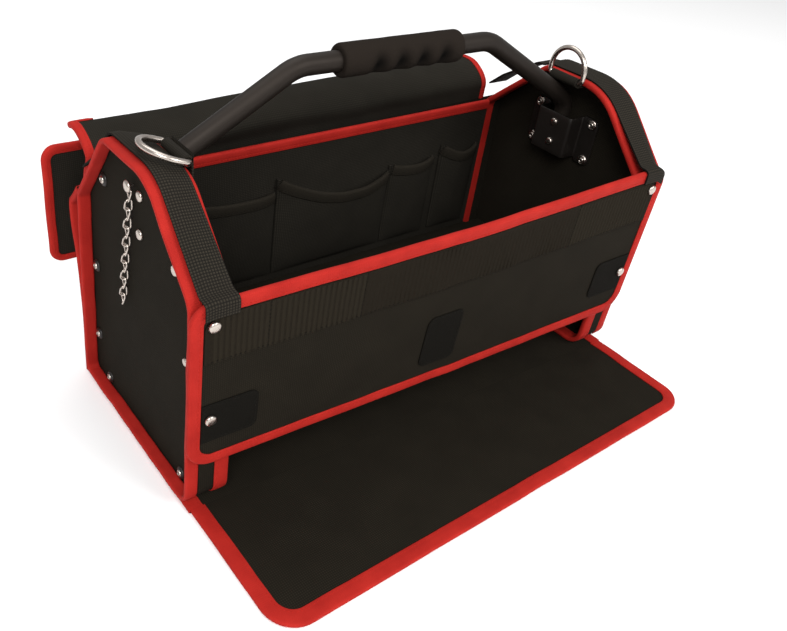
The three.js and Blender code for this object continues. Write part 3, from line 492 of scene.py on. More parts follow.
def finSection():  # a flattened roll of tape
    middle, half = (pan["finFrom"] + pan["finTo"]) / 2, (pan["finTo"] - pan["finFrom"]) / 2
    level, thick = (pan["finOver"] + pan["finUnder"]) / 2, (pan["finOver"] - pan["finUnder"]) / 2
    wide, tall = pan["finPowers"]
    section = []
    for k in range(24):
        c, s = math.cos(k * math.pi / 12), math.sin(k * math.pi / 12)
        section.append((middle + math.copysign(abs(c) ** wide, c) * half,
                        level + math.copysign(abs(s) ** tall, s) * thick))
    return section


panelInset = -pan["wall"] - pan["panelGap"]
panelX = (pan["panelInside"] + pan["outer"]) / 2
for name, side in sides.items():
    title = name.capitalize()
    stations, at = panPlace(side)
    outline = [(a + na * panelInset, b + nb * panelInset) for a, b, na, nb in stations]
    lows, highs = min(p[1] for p in outline), max(p[1] for p in outline)

    def reach(z):  # the panel's span in Y at a height
        cuts = []
        for (a0, b0), (a1, b1) in zip(outline, outline[1:] + outline[:1]):
            if (b0 - z) * (b1 - z) <= 0 and b0 != b1:
                cuts.append(a0 + (a1 - a0) * (z - b0) / (b1 - b0))
        return min(cuts), max(cuts)
    heights = closerAtEnds(lows + pan["panelTip"], highs - pan["panelTip"], 60)
    panelRows = [(z, *reach(z)) for z in heights]

    def panelPlace(u, v, sign=side["sign"]):
        fade = pan["slackFade"]
        edge = clamp((u - pan["slackFrom"]) / fade) * clamp((pan["slackTo"] - u) / fade)
        give = slack(u, v, *pan["panelSlack"], pan["slackSeed"] + sign) * edge
        return Vector((sign * (panelX + give), u, v))
    thick = pan["outer"] - pan["panelInside"]
    endPanel = clothSheet("endPanel" + title, "end_panel_" + name, panelRows, panelPlace, thick, fabric,
                          columns=40)
    cut = sum((hi - lo) * (heights[1 + k] - heights[k]) for k, (z, lo, hi) in enumerate(panelRows[:-1]))

    section = [(x, -pan["wall"] / 2) for x in spread(pan["inner"], pan["outer"], 8)]
    gusset, run = panSweep("endGusset" + title, side, section, fabric, closed=False)
    thickened(gusset, pan["wall"])
    standFor(gusset, "fabric", ["end_gusset_" + name])
    fin = panSweep("endPiping" + title, side, finSection(), tapeRed, depth=pan["finSway"])[0]
    standFor(fin, "binding", ["end_piping_" + name])
    folded = tapeSection(pan["bindingReach"], pan["wall"] / 2)
    section = [(pan["inner"] + inset, h - pan["wall"] / 2) for inset, h in folded]
    binding = panSweep("gussetBinding" + title, side, section, tapeRed)[0]
    standFor(binding, "binding", ["gusset_binding_" + name])
    for x, lift in ((pan["inner"] + pan["bindingReach"] - tape["seam"], tape["seamLift"]),
                    (pan["finFrom"] + pan["finSeam"], pan["finSeamLift"])):
        sewn = [(at(s, x, lift), Vector((0, s[2], s[3]))) for s in stations]
        stitchRuns["red"].append((sewn, True))
print("end pans made")

# Front panel: leans with the pans, bulges at mid-length and is bound all round
front = dict(middle=-4, half=239.3, bottom=(53.5, 50.5), top=(196, 204.5), height=148, bulge=5, bulgeLow=0.25,
             offset=4.5, bottomRadius=20, topRadius=16, tapeReach=8.5, cloth=2.4,
             ripples=((55, 1.1, 7), (22, 0.35, 9)))  # each with its size, depth and seed


def alongFront(u, ends):
    return ends[0] + (ends[1] - ends[0]) * (u + front["half"]) / (2 * front["half"])


def frontPlace(u, v):
    bottom = alongFront(u, front["bottom"])
    z = bottom + v / front["height"] * (alongFront(u, front["top"]) - bottom)
    foot, shoulder = pan["corners"][0], pan["corners"][1]
    lean = foot[0] + (z - foot[1]) / (shoulder[1] - foot[1]) * (shoulder[0] - foot[0])
    swell = front["bulgeLow"] + (1 - front["bulgeLow"]) * clamp(v / front["height"])
    arch = max(0, 1 - (u / front["half"]) ** 2) ** 2
    ripple = sum(slack(u, v, *wave) for wave in front["ripples"])
    y = lean - front["offset"] - front["bulge"] * swell * arch + ripple * arch
    return Vector((u + front["middle"], y, z))


half, height = front["half"], front["height"]
frontRows = []
for v in closerAtEnds(0, height, 44):
    inset = edgeInset(v, 0, height, front["bottomRadius"], front["topRadius"])
    frontRows.append((v, -half + inset, half - inset))
frontStations = flatPath(boxCorners(-half, half, 0, height, front["bottomRadius"], front["topRadius"]), True)
frontPanel = clothSheet("frontPanel", "front_panel", frontRows, frontPlace, front["cloth"], fabric,
                        columns=110)
frontBinding = boundEdge("frontPanelBinding", "front_panel_binding", frontStations, front["tapeReach"],
                         front["cloth"], frontPlace, True)

band = dict(low=98.5, corner=130.5, high=139, half=230, halfHigh=220, lift=2.2, thick=1.2, edge=0.3)
bandTop = band["lift"] + band["thick"] / 2
bandRows = []
for v in spread(band["low"], band["high"], 16):
    share = clamp((v - band["corner"]) / (band["high"] - band["corner"]))
    wide = band["half"] + (band["halfHigh"] - band["half"]) * share
    bandRows.append((v, -wide, wide))
frontBand = clothSheet("frontWebbingBand", "front_webbing_band", bandRows, frontPlace, band["thick"],
                       bandWebbing, columns=150, lift=band["lift"], edge=band["edge"], slot="webbing")

patches = dict(left=(-230, -184, 23, 60), middle=(-27, 11, 19, 71), right=(184, 230, 25, 63))
patch = dict(lift=1.9, thick=0.9, edge=0.3, corner=7, seam=2, seamCorner=4, seamLift=0.45)
for name, (lo, hi, low, high) in patches.items():
    rows = []
    for v in closerAtEnds(low, high, 24):  # only its inner corners are round
        inset = edgeInset(v, low, high, patch["corner"], patch["corner"])
        rows.append((v, lo + inset * (name != "left"), hi - inset * (name != "right")))
    cut = clothSheet("fastenerPatch" + name.capitalize(), "fastener_patch_" + name, rows, frontPlace,
                     patch["thick"], loopFastener, columns=20, lift=patch["lift"], edge=patch["edge"],
                     slot="webbing")
    inset, corner = patch["seam"], patch["seamCorner"]
    seam = boxCorners(lo + inset, hi - inset, low + inset, high - inset, corner, corner)
    sewLine("black", flatPath(seam, True), 0, frontPlace, patch["lift"] + patch["seamLift"], True)
print("front made")

# Base, and the flap that lies open in front of it
base = dict(half=238.5, front=-97.35, back=100.4, tapeReach=11, cloth=2.4)
flap = dict(half=237, middle=-216.3, skew=0.045, fold=-97.4, depth=119, radius=25, tapeReach=11,
            lift=(60, 2.4, 17), liftFade=25)  # the lift's size, height and seed


def basePlace(u, v):
    return Vector((u, v, base["cloth"] / 2))


def flapPlace(u, v):
    line = flap["middle"] + flap["skew"] * u
    lift = max(0, slack(u, v, *flap["lift"])) * clamp((flap["depth"] - v) / flap["liftFade"])
    return Vector((u, line + v / flap["depth"] * (flap["fold"] - line), base["cloth"] / 2 + lift))


baseRows = [(v, -base["half"], base["half"]) for v in spread(base["front"], base["back"], 20)]
basePanel = clothSheet("basePanel", "base_panel", baseRows, basePlace, base["cloth"], fabric, columns=48)
baseTapes = boundSides("baseBinding", "base_binding_", base["half"], (base["back"], base["front"]),
                       base["tapeReach"], base["cloth"], basePlace, 1, True)

half, depth, radius = flap["half"], flap["depth"], flap["radius"]
flapRows = []
for k in range(31):
    v = depth * (1 - math.cos(math.pi / 2 * k / 30))
    inset = cornerInset(v, radius)
    flapRows.append((v, -half + inset, half - inset))
frontFlap = clothSheet("frontFlap", "front_flap", flapRows, flapPlace, base["cloth"], fabric, columns=80)
flapStations = flatPath([(-half, depth, 0), (-half, 0, radius), (half, 0, radius), (half, depth, 0)], False)
flapTape = boundEdge("frontFlapBinding", "front_flap_binding", flapStations, flap["tapeReach"], base["cloth"],
                     flapPlace, False, onFloor=True)
print("base and flap made")

drape = dict(long=45, short=20, shortShare=0.3, along=0.5, hold=20, seeds=(31, 37, 41))


def bentPlace(rows, left, right, folds, heldEnd, bulge=None):
    # a surface along a profile that passes from a left one to a right one
    runs = [0.0]
    for p, q in zip(rows, rows[1:]):
        runs.append(runs[-1] + (math.dist(p[:2], q[:2]) + math.dist(p[2:], q[2:])) / 2)
    slopes = []
    for i in range(len(rows)):
        h, k = max(i - 1, 0), min(i + 1, len(rows) - 1)
        slopes.append([(b - a) / (runs[k] - runs[h]) for a, b in zip(rows[h], rows[k])])
    swaySeed, creaseSeed, dipSeed = drape["seeds"]

    def place(u, v):
        i = max(0, min(len(rows) - 2, sum(run <= v for run in runs) - 1))
        span = runs[i + 1] - runs[i]
        t = (v - runs[i]) / span
        if t < 0 or t > 1:  # straight on past the ends
            end = i if t < 0 else i + 1
            yl, zl, yr, zr = (p + s * (v - runs[end]) for p, s in zip(rows[end], slopes[end]))
        else:
            yl, zl, yr, zr = (
                (2 * t ** 3 - 3 * t ** 2 + 1) * p + (t ** 3 - 2 * t ** 2 + t) * span * m
                + (3 * t ** 2 - 2 * t ** 3) * q + (t ** 3 - t ** 2) * span * n
                for p, q, m, n in zip(rows[i], rows[i + 1], slopes[i], slopes[i + 1]))
        across = (u - left) / (right - left)
        held = clamp(min(v, runs[-1] - v if heldEnd else v) / drape["hold"])
        along = u * drape["along"]
        sway = held * (slack(along, v, drape["long"], folds, swaySeed)
                       + slack(u, v, drape["short"], folds * drape["shortShare"], creaseSeed))
        dip = held * slack(along, v, drape["long"], folds, dipSeed)
        if bulge:  # how far out, at which height, and its reach up and along
            out, level, tall, wide = bulge
            sway += held * out * math.exp(-((v - level) / tall) ** 2 - ((u - left) / wide) ** 2)
        return Vector((u, yl + (yr - yl) * across + sway, zl + (zr - zl) * across + dip))
    return place, runs


# Back wall: (y, z) at the left, then at the right
wall = dict(half=238.5, tapeReach=11, cloth=2.4, seam=0.8, folds=0.8, bulge=(15.5, 167, 42, 45), rows=[
    (103.6, 0.3, 103.6, 0.3), (101.6, 50, 103.7, 50), (101.4, 110, 103.9, 110), (97.4, 155, 104.1, 160),
    (93.2, 187.8, 104.3, 198.2)])
wallPlace, wallRuns = bentPlace(wall["rows"], -wall["half"], wall["half"], wall["folds"], True, wall["bulge"])
wallTop = wallRuns[-1]
wallRows = [(v, -wall["half"], wall["half"]) for v in spread(0, wallTop + wall["seam"], 40)]
backWall = clothSheet("backWall", "back_wall", wallRows, wallPlace, wall["cloth"], fabric, columns=60)
wallTapes = boundSides("backBinding", "back_binding_", wall["half"], (wallTop, 0), wall["tapeReach"],
                       wall["cloth"], wallPlace, -1)

# Lid: rises from the wall's top, rolls over and hangs behind, with an ear at each side
lid = dict(left=-232, right=205, neck=16, ear=20.5, overRow=6, earRow=10, step=0.6, earRadius=11,
           neckRadius=2, behind=12, tapeReach=5.5, underTape=1, cloth=2.4, folds=2.2, rows=[
               (93.4, 188.4, 104.3, 198.8), (90.5, 201, 104.3, 206.5), (83.5, 214.5, 105.3, 214),
               (88, 221, 108.5, 219.8), (95, 225.2, 115.5, 225.8), (103, 228.4, 125, 230),
               (110.5, 230.2, 138, 230.4), (119.5, 229, 148, 227.6), (126.5, 223.6, 154.4, 221),
               (130, 216.5, 156.8, 215.5), (130.4, 209.5, 156.6, 209.5), (130.4, 180, 155.8, 180),
               (131.5, 145, 150.5, 145), (131, 105, 143.5, 99)])
lidPlace, lidRuns = bentPlace(lid["rows"], lid["left"], lid["right"], lid["folds"], False)
neckTop, earTop = lidRuns[lid["overRow"]] + lid["behind"], lidRuns[lid["earRow"]] + lid["step"]
hem = lidRuns[-1]
left, right, earR, neckR = lid["left"], lid["right"], lid["earRadius"], lid["neckRadius"]
neckLeft, neckRight = left + lid["neck"], right - lid["neck"]
earLeft, earRight = left - lid["ear"], right + lid["ear"]
lidRows = [(v, left, right) for v in spread(0, neckTop, 54)]
lidRows += [(v, neckLeft, neckRight) for v in spread(neckTop + lid["step"], earTop, 16)]
for v in closerAtEnds(earTop + lid["step"], hem, 60)[1:]:
    out = lid["ear"] - edgeInset(v, earTop, hem, earR, earR)
    lidRows.append((v, left - out, right + out))
inTape = lid["tapeReach"] - lid["underTape"]
# the lid uses the cloth painted lighter, as painted light
lidSheet = clothSheet("lidCloth", "lid", lidRows, lidPlace, lid["cloth"], paintedLightFabric, columns=90,
                      fixed=(neckLeft + inTape, neckRight - inTape))
lidCorners = [(right, 0, 0), (right, neckTop, neckR), (neckRight, neckTop, neckR), (neckRight, earTop, neckR),
              (earRight, earTop, earR), (earRight, hem, earR), (earLeft, hem, earR), (earLeft, earTop, earR),
              (neckLeft, earTop, neckR), (neckLeft, neckTop, neckR), (left, neckTop, neckR), (left, 0, 0)]
lidTape = boundEdge("lidBinding", "lid_binding", flatPath(lidCorners, False, 3.0), lid["tapeReach"],
                    lid["cloth"], lidPlace, False, (-1, 1))
print("back and lid made")

# Floor of the compartment, reaching into both pans
floorPlate = dict(middle=55.2, thick=2.4, half=227.8, inPan=91, inner=204.4, front=-96.6, back=95)


def floorPlace(y, x):
    return Vector((x, y, floorPlate["middle"]))


floorRows = []
for v in spread(-floorPlate["half"], floorPlate["half"], 96):
    inPan = abs(v) >= floorPlate["inner"]
    ends = (-floorPlate["inPan"], floorPlate["inPan"]) if inPan else (floorPlate["front"], floorPlate["back"])
    floorRows.append((v, *ends))
compartmentFloor = clothSheet("compartmentFloor", "compartment_floor", floorRows, floorPlace,
                              floorPlate["thick"], fabric, columns=30)

# Pocket panel and the pockets on its front
lining = dict(half=204, left=83, right=93, low=56.9, high=199, tapeReach=7.5, cloth=2.4)


def liningY(x):
    return lining["left"] + (lining["right"] - lining["left"]) * (x + lining["half"]) / (2 * lining["half"])


def liningPlace(u, v):
    return Vector((u, liningY(u), v))


half, low, high = lining["half"], lining["low"], lining["high"]
liningRows = [(v, -half, half) for v in spread(low, high, 20)]
# the pocket panel uses the cloth painted lighter, as painted light in the shaded interior
pocketPanel = clothSheet("pocketPanel", "pocket_panel", liningRows, liningPlace, lining["cloth"],
                         paintedLightFabric, columns=60)
liningEdge = flatPath([(half, high, 0), (-half, high, 0)], False)
panelTape = boundEdge("pocketPanelBinding", "pocket_panel_binding", liningEdge, lining["tapeReach"],
                      lining["cloth"], liningPlace, False)

pockets = [dict(start=-200, end=-60, mouth=(172, 158, 152), depth=13),
           dict(start=-58, end=75, mouth=(165, 142.5, 147), depth=14),
           dict(start=77, end=134, mouth=(152, 150, 152), depth=9),
           dict(start=145, end=195, mouth=(162, 152, 156), depth=9)]
pocket = dict(bottom=66, thick=1.6, gap=0.3, power=0.5, hemReach=8.5, hemTurn=8, probe=0.01,
              folds=(17, 1.2), foldTall=0.4)


def pocketPlace(shape):
    def mouth(t):
        left, middle, right = shape["mouth"]
        return left * (1 - t) * (1 - 2 * t) + 4 * middle * t * (1 - t) + right * t * (2 * t - 1)

    def place(u, v):
        t = clamp((u - shape["start"]) / (shape["end"] - shape["start"]))
        share = max(0, (v - pocket["bottom"]) / (mouth(t) - pocket["bottom"]))
        arch = math.sin(math.pi * t) ** pocket["power"] * math.sqrt(share)
        fold = slack(u, v * pocket["foldTall"], *pocket["folds"], shape["start"]) * arch
        off = lining["cloth"] / 2 + pocket["gap"] + pocket["thick"] / 2
        return Vector((u, liningY(u) - off - shape["depth"] * arch + fold, v))
    return place, mouth


for number, shape in enumerate(pockets, 1):
    place, mouth = pocketPlace(shape)
    span = shape["end"] - shape["start"]
    columns = max(20, int(span / 3))
    across = closerAtEnds(shape["start"], shape["end"], columns)
    rises = [spread(pocket["bottom"], mouth((x - shape["start"]) / span), 24) for x in across]
    uv = [list(zip(across, row)) for row in zip(*rises)]
    grid = [[place(*p) for p in row] for row in uv]
    # the pockets use the cloth painted lighter, as painted light in the shaded interior
    bag = thickened(gridPiece(f"pocket{number}", grid, uv, paintedLightFabric), pocket["thick"])
    standFor(bag, "fabric", [f"pocket_{number}"])
    mouthEdge = []
    for j in range(1, columns):  # runs from right to left, so that its left normal points into the cloth
        t, probe = 1 - j / columns, pocket["probe"]
        slope = (mouth(min(1, t + probe)) - mouth(max(0, t - probe))) / (2 * probe * span)
        size = math.hypot(1, slope)
        mouthEdge.append((shape["start"] + span * t, mouth(t), slope / size, -1 / size))
    section = tapeSection(pocket["hemReach"], pocket["thick"] / 2)
    mouthTape = tapeRun(f"pocketMouth{number}", mouthEdge, section, place, False, hemTape)
    standFor(mouthTape, "fabric", [f"pocket_{number}"])
    sewLine("black", mouthEdge, pocket["hemReach"] - tape["seam"], place,
            pocket["thick"] / 2 + tape["seamLift"], False)
    tall = sum(shape["mouth"]) / 3 - pocket["bottom"]
print("inside made")

# Webbing over the rim of each pan: from a hem on the front panel, over the top, to its end behind
rim = dict(start=210, end=235, lift=2.55, thick=1.5, standOff=0.9, step=0.6, easing=24,
           climb=[(0.3, -9, -1, 0), (0, -1.5, -1, 0), (0.2, 1.8, -0.88, 0.47), (2.4, 3.2, -0.3, 0.95),
                  (9.5, 3.2, -0.3, 0.95)],
           tail=[(45.5, 253.8), (68, 239.5), (86, 228), (102, 214)], lying=((0.3, 0), (0.55, 5), (0.85, 11)))


def rimStations(name, side):  # (a, b, normal a, normal b, lift, sag share, corner drop, shift)
    arcs = panArcs(side)
    top = alongFront(side["sign"] * (rim["start"] + rim["end"]) / 2 - front["middle"], front["top"])
    layers = front["cloth"] / 2 + tape["thick"] + 2 * tape["gap"] + rim["thick"] / 2 + rim["standOff"]
    face = pan["corners"][1][0] - front["offset"] - layers
    stations = [(face + back, top + rise, na, nb, 0, 0, side["drop"], side["hemShift"])
                for back, rise, na, nb in rim["climb"]]
    stations += [(*s, rim["lift"], 1, 0, 0) for s in arcs[2] + arcs[3]]
    if name == "left":
        start, end = arcs[3][-1], arcs[4][0]
        for t, curl in rim["lying"]:
            spot = [c + (d - c) * t for c, d in zip(start[:2], end[:2])]
            stations.append((*spot, *end[2:], rim["lift"] + curl, 1, 0, 0))
    else:
        tail = rim["tail"]
        for i, (a, b) in enumerate(tail):
            p, q = tail[max(0, i - 1)], tail[min(len(tail) - 1, i + 1)]
            way = Vector((q[0] - p[0], q[1] - p[1])).normalized()
            stations.append((a, b, -way.y, way.x, 0, 0, 0, 0))
    return eased(filled(stations, rim["step"], False), rim["easing"])


def strand(x):
    return math.sin(math.pi * x / weave["pitch"])


across = spread(rim["start"], rim["end"], 36)
for name, side in sides.items():
    title = name.capitalize()
    stations = rimStations(name, side)
    grid, uv, run = [], [], 0.0
    for i, (a, b, na, nb, lift, share, drop, shift) in enumerate(stations):
        if i:
            run += math.dist(stations[i - 1][:2], (a, b))
        size = math.hypot(na, nb)
        row = []
        for x in across:
            outer = max(0, (x - pan["sagStart"]) / (rim["end"] - pan["sagStart"]))
            relief = weave["relief"] * (strand(run) * strand(x)) ** 2
            r = lift + relief - side["sag"] * share * sagInwards(x)
            y, z = a + na / size * r, b + nb / size * r - drop * outer
            row.append(Vector((side["sign"] * (x - shift), y, z)))
        grid.append(row)
        uv.append([(run, x) for x in across])
    strip = thickened(gridPiece("rimWebbing" + title, grid, uv, webbing, smooth=70), rim["thick"], even=False)
    standFor(strip, "webbing", ["rim_webbing_" + name])
print("rim webbing made")


def newTree(name, **kinds):  # a node group with geometry in and out, its own inputs and a finish
    tree = bpy.data.node_groups.new(name, "GeometryNodeTree")
    for label, kind in dict(Geometry="Geometry", **kinds, Finish="Material").items():
        tree.interface.new_socket(label, in_out="INPUT", socket_type="NodeSocket" + kind)
    tree.interface.new_socket("Geometry", in_out="OUTPUT", socket_type="NodeSocketGeometry")
    return tree, addNode(tree, "NodeGroupInput").outputs


def closeTree(tree, geometry, finish):  # real meshes with their finish
    real = addNode(tree, "GeometryNodeRealizeInstances", {"Geometry": geometry}).outputs["Geometry"]
    painted = addNode(tree, "GeometryNodeSetMaterial", {"Geometry": real, "Material": finish})
    addNode(tree, "NodeGroupOutput", {"Geometry": painted.outputs["Geometry"]})
    return tree


# Geometry Nodes: a thread row or a row of ribs along a line, standing on its "outward" attribute
def rowTree(name, bar):
    tree, inlet = newTree(name, Pitch="Float", Length="Float", Width="Float", Height="Float")
    line = addNode(tree, "GeometryNodeMeshToCurve", {"Mesh": inlet["Geometry"]}).outputs["Curve"]
    spacing = {"Curve": line, "Length": inlet["Pitch"]}
    spaced = addNode(tree, "GeometryNodeResampleCurve", spacing, mode="LENGTH")
    outward = addNode(tree, "GeometryNodeInputNamedAttribute", {"Name": "outward"}, data_type="FLOAT_VECTOR")
    tangent = addNode(tree, "GeometryNodeInputTangent")
    axes = {"Primary Axis": outward.outputs["Attribute"], "Secondary Axis": tangent.outputs["Tangent"]}
    turn = addNode(tree, "FunctionNodeAxesToRotation", axes, primary_axis="Z", secondary_axis="X")
    if bar:  # a rounded bar lying across the line
        upright = addNode(tree, "GeometryNodeMeshCylinder", {"Vertices": 10, "Radius": 0.5, "Depth": 1.0})
        lying = {"Geometry": upright.outputs["Mesh"], "Rotation": (math.pi / 2, 0, 0)}
        item = addNode(tree, "GeometryNodeTransform", lying).outputs["Geometry"]
    else:  # one stitch
        ball = {"Segments": 6, "Rings": 4, "Radius": 0.5}
        item = addNode(tree, "GeometryNodeMeshUVSphere", ball).outputs["Mesh"]
    sizes = {"X": inlet["Length"], "Y": inlet["Width"], "Z": inlet["Height"]}
    size = addNode(tree, "ShaderNodeCombineXYZ", sizes)
    placed = addNode(tree, "GeometryNodeInstanceOnPoints", {
        "Points": spaced.outputs["Curve"], "Instance": item,
        "Rotation": turn.outputs["Rotation"], "Scale": size.outputs["Vector"]})
    return closeTree(tree, placed.outputs["Instances"], inlet["Finish"])


# Geometry Nodes: one item on each point, turned by "outward" and "along" and scaled by "size"
def itemTree(name):
    tree, inlet = newTree(name, Item="Object")
    read = {}
    for label in ("outward", "along", "size"):
        named = addNode(tree, "GeometryNodeInputNamedAttribute", {"Name": label}, data_type="FLOAT_VECTOR")
        read[label] = named.outputs["Attribute"]
    axes = {"Primary Axis": read["outward"], "Secondary Axis": read["along"]}
    turn = addNode(tree, "FunctionNodeAxesToRotation", axes, primary_axis="Z", secondary_axis="X")
    item = addNode(tree, "GeometryNodeObjectInfo", {"Object": inlet["Item"]})
    points = addNode(tree, "GeometryNodeMeshToPoints", {"Mesh": inlet["Geometry"]})
    placed = addNode(tree, "GeometryNodeInstanceOnPoints", {
        "Points": points.outputs["Points"], "Instance": item.outputs["Geometry"],
        "Rotation": turn.outputs["Rotation"], "Scale": read["size"]})
    return closeTree(tree, placed.outputs["Instances"], inlet["Finish"])


# Geometry Nodes: a round wire along a line of corners, each bent to its "bend" radius
def wireTree(name):
    tree, inlet = newTree(name, Radius="Float", Sides="Int")
    line = addNode(tree, "GeometryNodeMeshToCurve", {"Mesh": inlet["Geometry"]}).outputs["Curve"]
    bend = addNode(tree, "GeometryNodeInputNamedAttribute", {"Name": "bend"}, data_type="FLOAT")
    arcs = {"Curve": line, "Count": 14, "Radius": bend.outputs["Attribute"], "Limit Radius": True}
    bent = addNode(tree, "GeometryNodeFilletCurve", arcs, mode="POLY").outputs["Curve"]
    ring = addNode(tree, "GeometryNodeCurvePrimitiveCircle",
                   {"Resolution": inlet["Sides"], "Radius": inlet["Radius"]}).outputs["Curve"]
    tube = addNode(tree, "GeometryNodeCurveToMesh", {"Curve": bent, "Profile Curve": ring, "Fill Caps": True})
    return closeTree(tree, tube.outputs["Mesh"], inlet["Finish"])


def grown(name, tree, points, edges, attributes, inputs):  # a guide mesh run through a tree, then made plain
    guide = bpy.data.meshes.new(name)
    guide.from_pydata([tuple(c * mm for c in p) for p in points], edges, [])
    for label, values in attributes.items():
        vector = hasattr(values[0], "__len__")
        layer = guide.attributes.new(label, "FLOAT_VECTOR" if vector else "FLOAT", "POINT")
        for entry, value in zip(layer.data, values):
            if vector:
                entry.vector = value
            else:
                entry.value = value
    piece = bpy.data.objects.new(name, guide)
    bpy.context.scene.collection.objects.link(piece)
    grow = piece.modifiers.new("grow", "NODES")
    grow.node_group = tree
    for socket in tree.interface.items_tree:
        if socket.in_out == "INPUT" and socket.name in inputs:
            grow[socket.identifier] = inputs[socket.name]
    smoothed(settle(piece).data, 50)
    return piece


def chained(runs):  # several runs of (place, outward) as one guide
    points, edges, outward = [], [], []
    for run, loop in runs:
        first = len(points)
        points += [p for p, n in run]
        outward += [n for p, n in run]
        edges += [(first + k, first + k + 1) for k in range(len(run) - 1)]
        if loop:
            edges.append((first + len(run) - 1, first))
    return points, edges, {"outward": outward}


def turnedItem(name, profile, segments):  # a lathe-turned head, axis +Z, one unit across and high
    vertices, faces = [(0, 0, profile[0][1] / mm)], []
    for r, h in profile[1:]:
        for k in range(segments):
            angle = 2 * math.pi * k / segments
            vertices.append((r * math.cos(angle) / mm, r * math.sin(angle) / mm, h / mm))
    for k in range(segments):
        faces.append((0, 1 + k, 1 + (k + 1) % segments))
    for ring in range(len(profile) - 2):
        first = 1 + ring * segments
        for k in range(segments):
            m = (k + 1) % segments
            faces.append((first + k, first + segments + k, first + segments + m, first + m))
    last = 1 + (len(profile) - 2) * segments
    faces.append([last + k for k in reversed(range(segments))])
    return meshPiece(name, vertices, faces, nickel)


stitchRow = rowTree("stitchRow", False)
ribRow = rowTree("ribRow", True)
itemSet = itemTree("itemSet")
bentWire = wireTree("bentWire")

# Ribs of the front webbing band, stronger in its left part, with a sewn lower edge
ribs = dict(pitch=4.3, width=3.0, height=0.9, low=99.5, high=138, strong=0.75, seams=(-181, -102, 124),
            seamIn=1.8, seamOver=2, seamLift=0.3, crossIn=1, crossLift=0.2, seamPitch=6.0,
            parts=[(-222, -183, 0.8), (-179, -104, 1.0), (-100, 122, 0.7), (126, 222, 0.9)])
for number, (lo, hi, strength) in enumerate(ribs["parts"], 1):
    line = [(u, (ribs["low"] + ribs["high"]) / 2, 0, 1) for u in spread(lo, hi, 40)]
    guide = chained([(sewnRun(line, 0, frontPlace, bandTop), False)])
    sizes = {"Pitch": ribs["pitch"] * mm, "Length": ribs["width"] * mm,
             "Width": (ribs["high"] - ribs["low"]) * mm, "Height": ribs["height"] * strength * mm,
             "Finish": ribWebbing if strength > ribs["strong"] else bandWebbing}
    rib = grown(f"bandRibs{number}", ribRow, *guide, sizes)
    standFor(rib, "webbing", ["front_webbing_band"])
    level = band["low"] + ribs["seamIn"]
    ends = [(lo - ribs["seamOver"], level, 0, 1), (hi + ribs["seamOver"], level, 0, 1)]
    seam = filled(ends, ribs["seamPitch"], False)
    sewLine("black", seam, 0, frontPlace, bandTop + ribs["seamLift"], False)
for u in ribs["seams"]:
    ends = [(u, band["low"] + ribs["crossIn"], 0, 1), (u, band["high"] - ribs["crossIn"], 0, 1)]
    seam = filled(ends, ribs["seamPitch"], False)
    sewLine("black", seam, 0, frontPlace, bandTop + ribs["crossLift"], False)

stitch = dict(Pitch=3.4, Length=2.5, Width=0.7, Height=0.6)
for colour, thread, slot in (("red", redThread, "binding"), ("black", blackThread, "webbing")):
    sizes = {label: size * mm for label, size in stitch.items()}
    sewn = grown(colour + "Stitches", stitchRow, *chained(stitchRuns[colour]), {**sizes, "Finish": thread})
    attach(sewn, "bag")
print("ribs and stitches made")

# Rivets and cup-washer screws: places on the front panel and on the end panels' outer faces
heads = dict(front=(4.6, 2.6), face=(4.2, 2.4), small=(3.2, 2.0), screw=(5.4, 3.0), bracketScrew=(5.2, 3.0),
             bracketRivet=(3.8, 2.2))  # radius and height
fastened = dict(frontU=223.5, frontLift=3.1, frontRows=dict(low=45.6, high=131), face=231.3, small=(-76, 130),
                rivets=dict(top=(-8, 227), middle=(-6, 196), front=(-61, 197)),
                screws=dict(top=(56, 211), back=(81.5, 122), low=(86, 50), bottom_back=(67, 14.5),
                            bottom_front=(-68, 14.5)))
rivetPlaces, screwPlaces = [], []  # (place, outward, kind)
rivetNodes, screwNodes = [], []


def onFace(sign, spot, kind):
    return Vector((sign * fastened["face"], *spot)), Vector((sign, 0, 0)), kind


for name, side in sides.items():
    for row, v in fastened["frontRows"].items():
        station = (side["sign"] * fastened["frontU"], v, 0, 1)
        rivetPlaces.append((*sewnRun([station], 0, frontPlace, fastened["frontLift"])[0], "front"))
        rivetNodes.append(f"front_rivet_{name}_{row}")
    for row, spot in fastened["rivets"].items():
        rivetPlaces.append(onFace(side["sign"], spot, "face"))
        rivetNodes.append(f"face_rivet_{name}_{row}")
rivetPlaces.append(onFace(-1, fastened["small"], "small"))
rivetNodes.append("face_rivet_left_small")
for row, spot in fastened["screws"].items():
    screwPlaces.append(onFace(-1, spot, "screw"))
    screwNodes.append("face_screw_left_" + row)

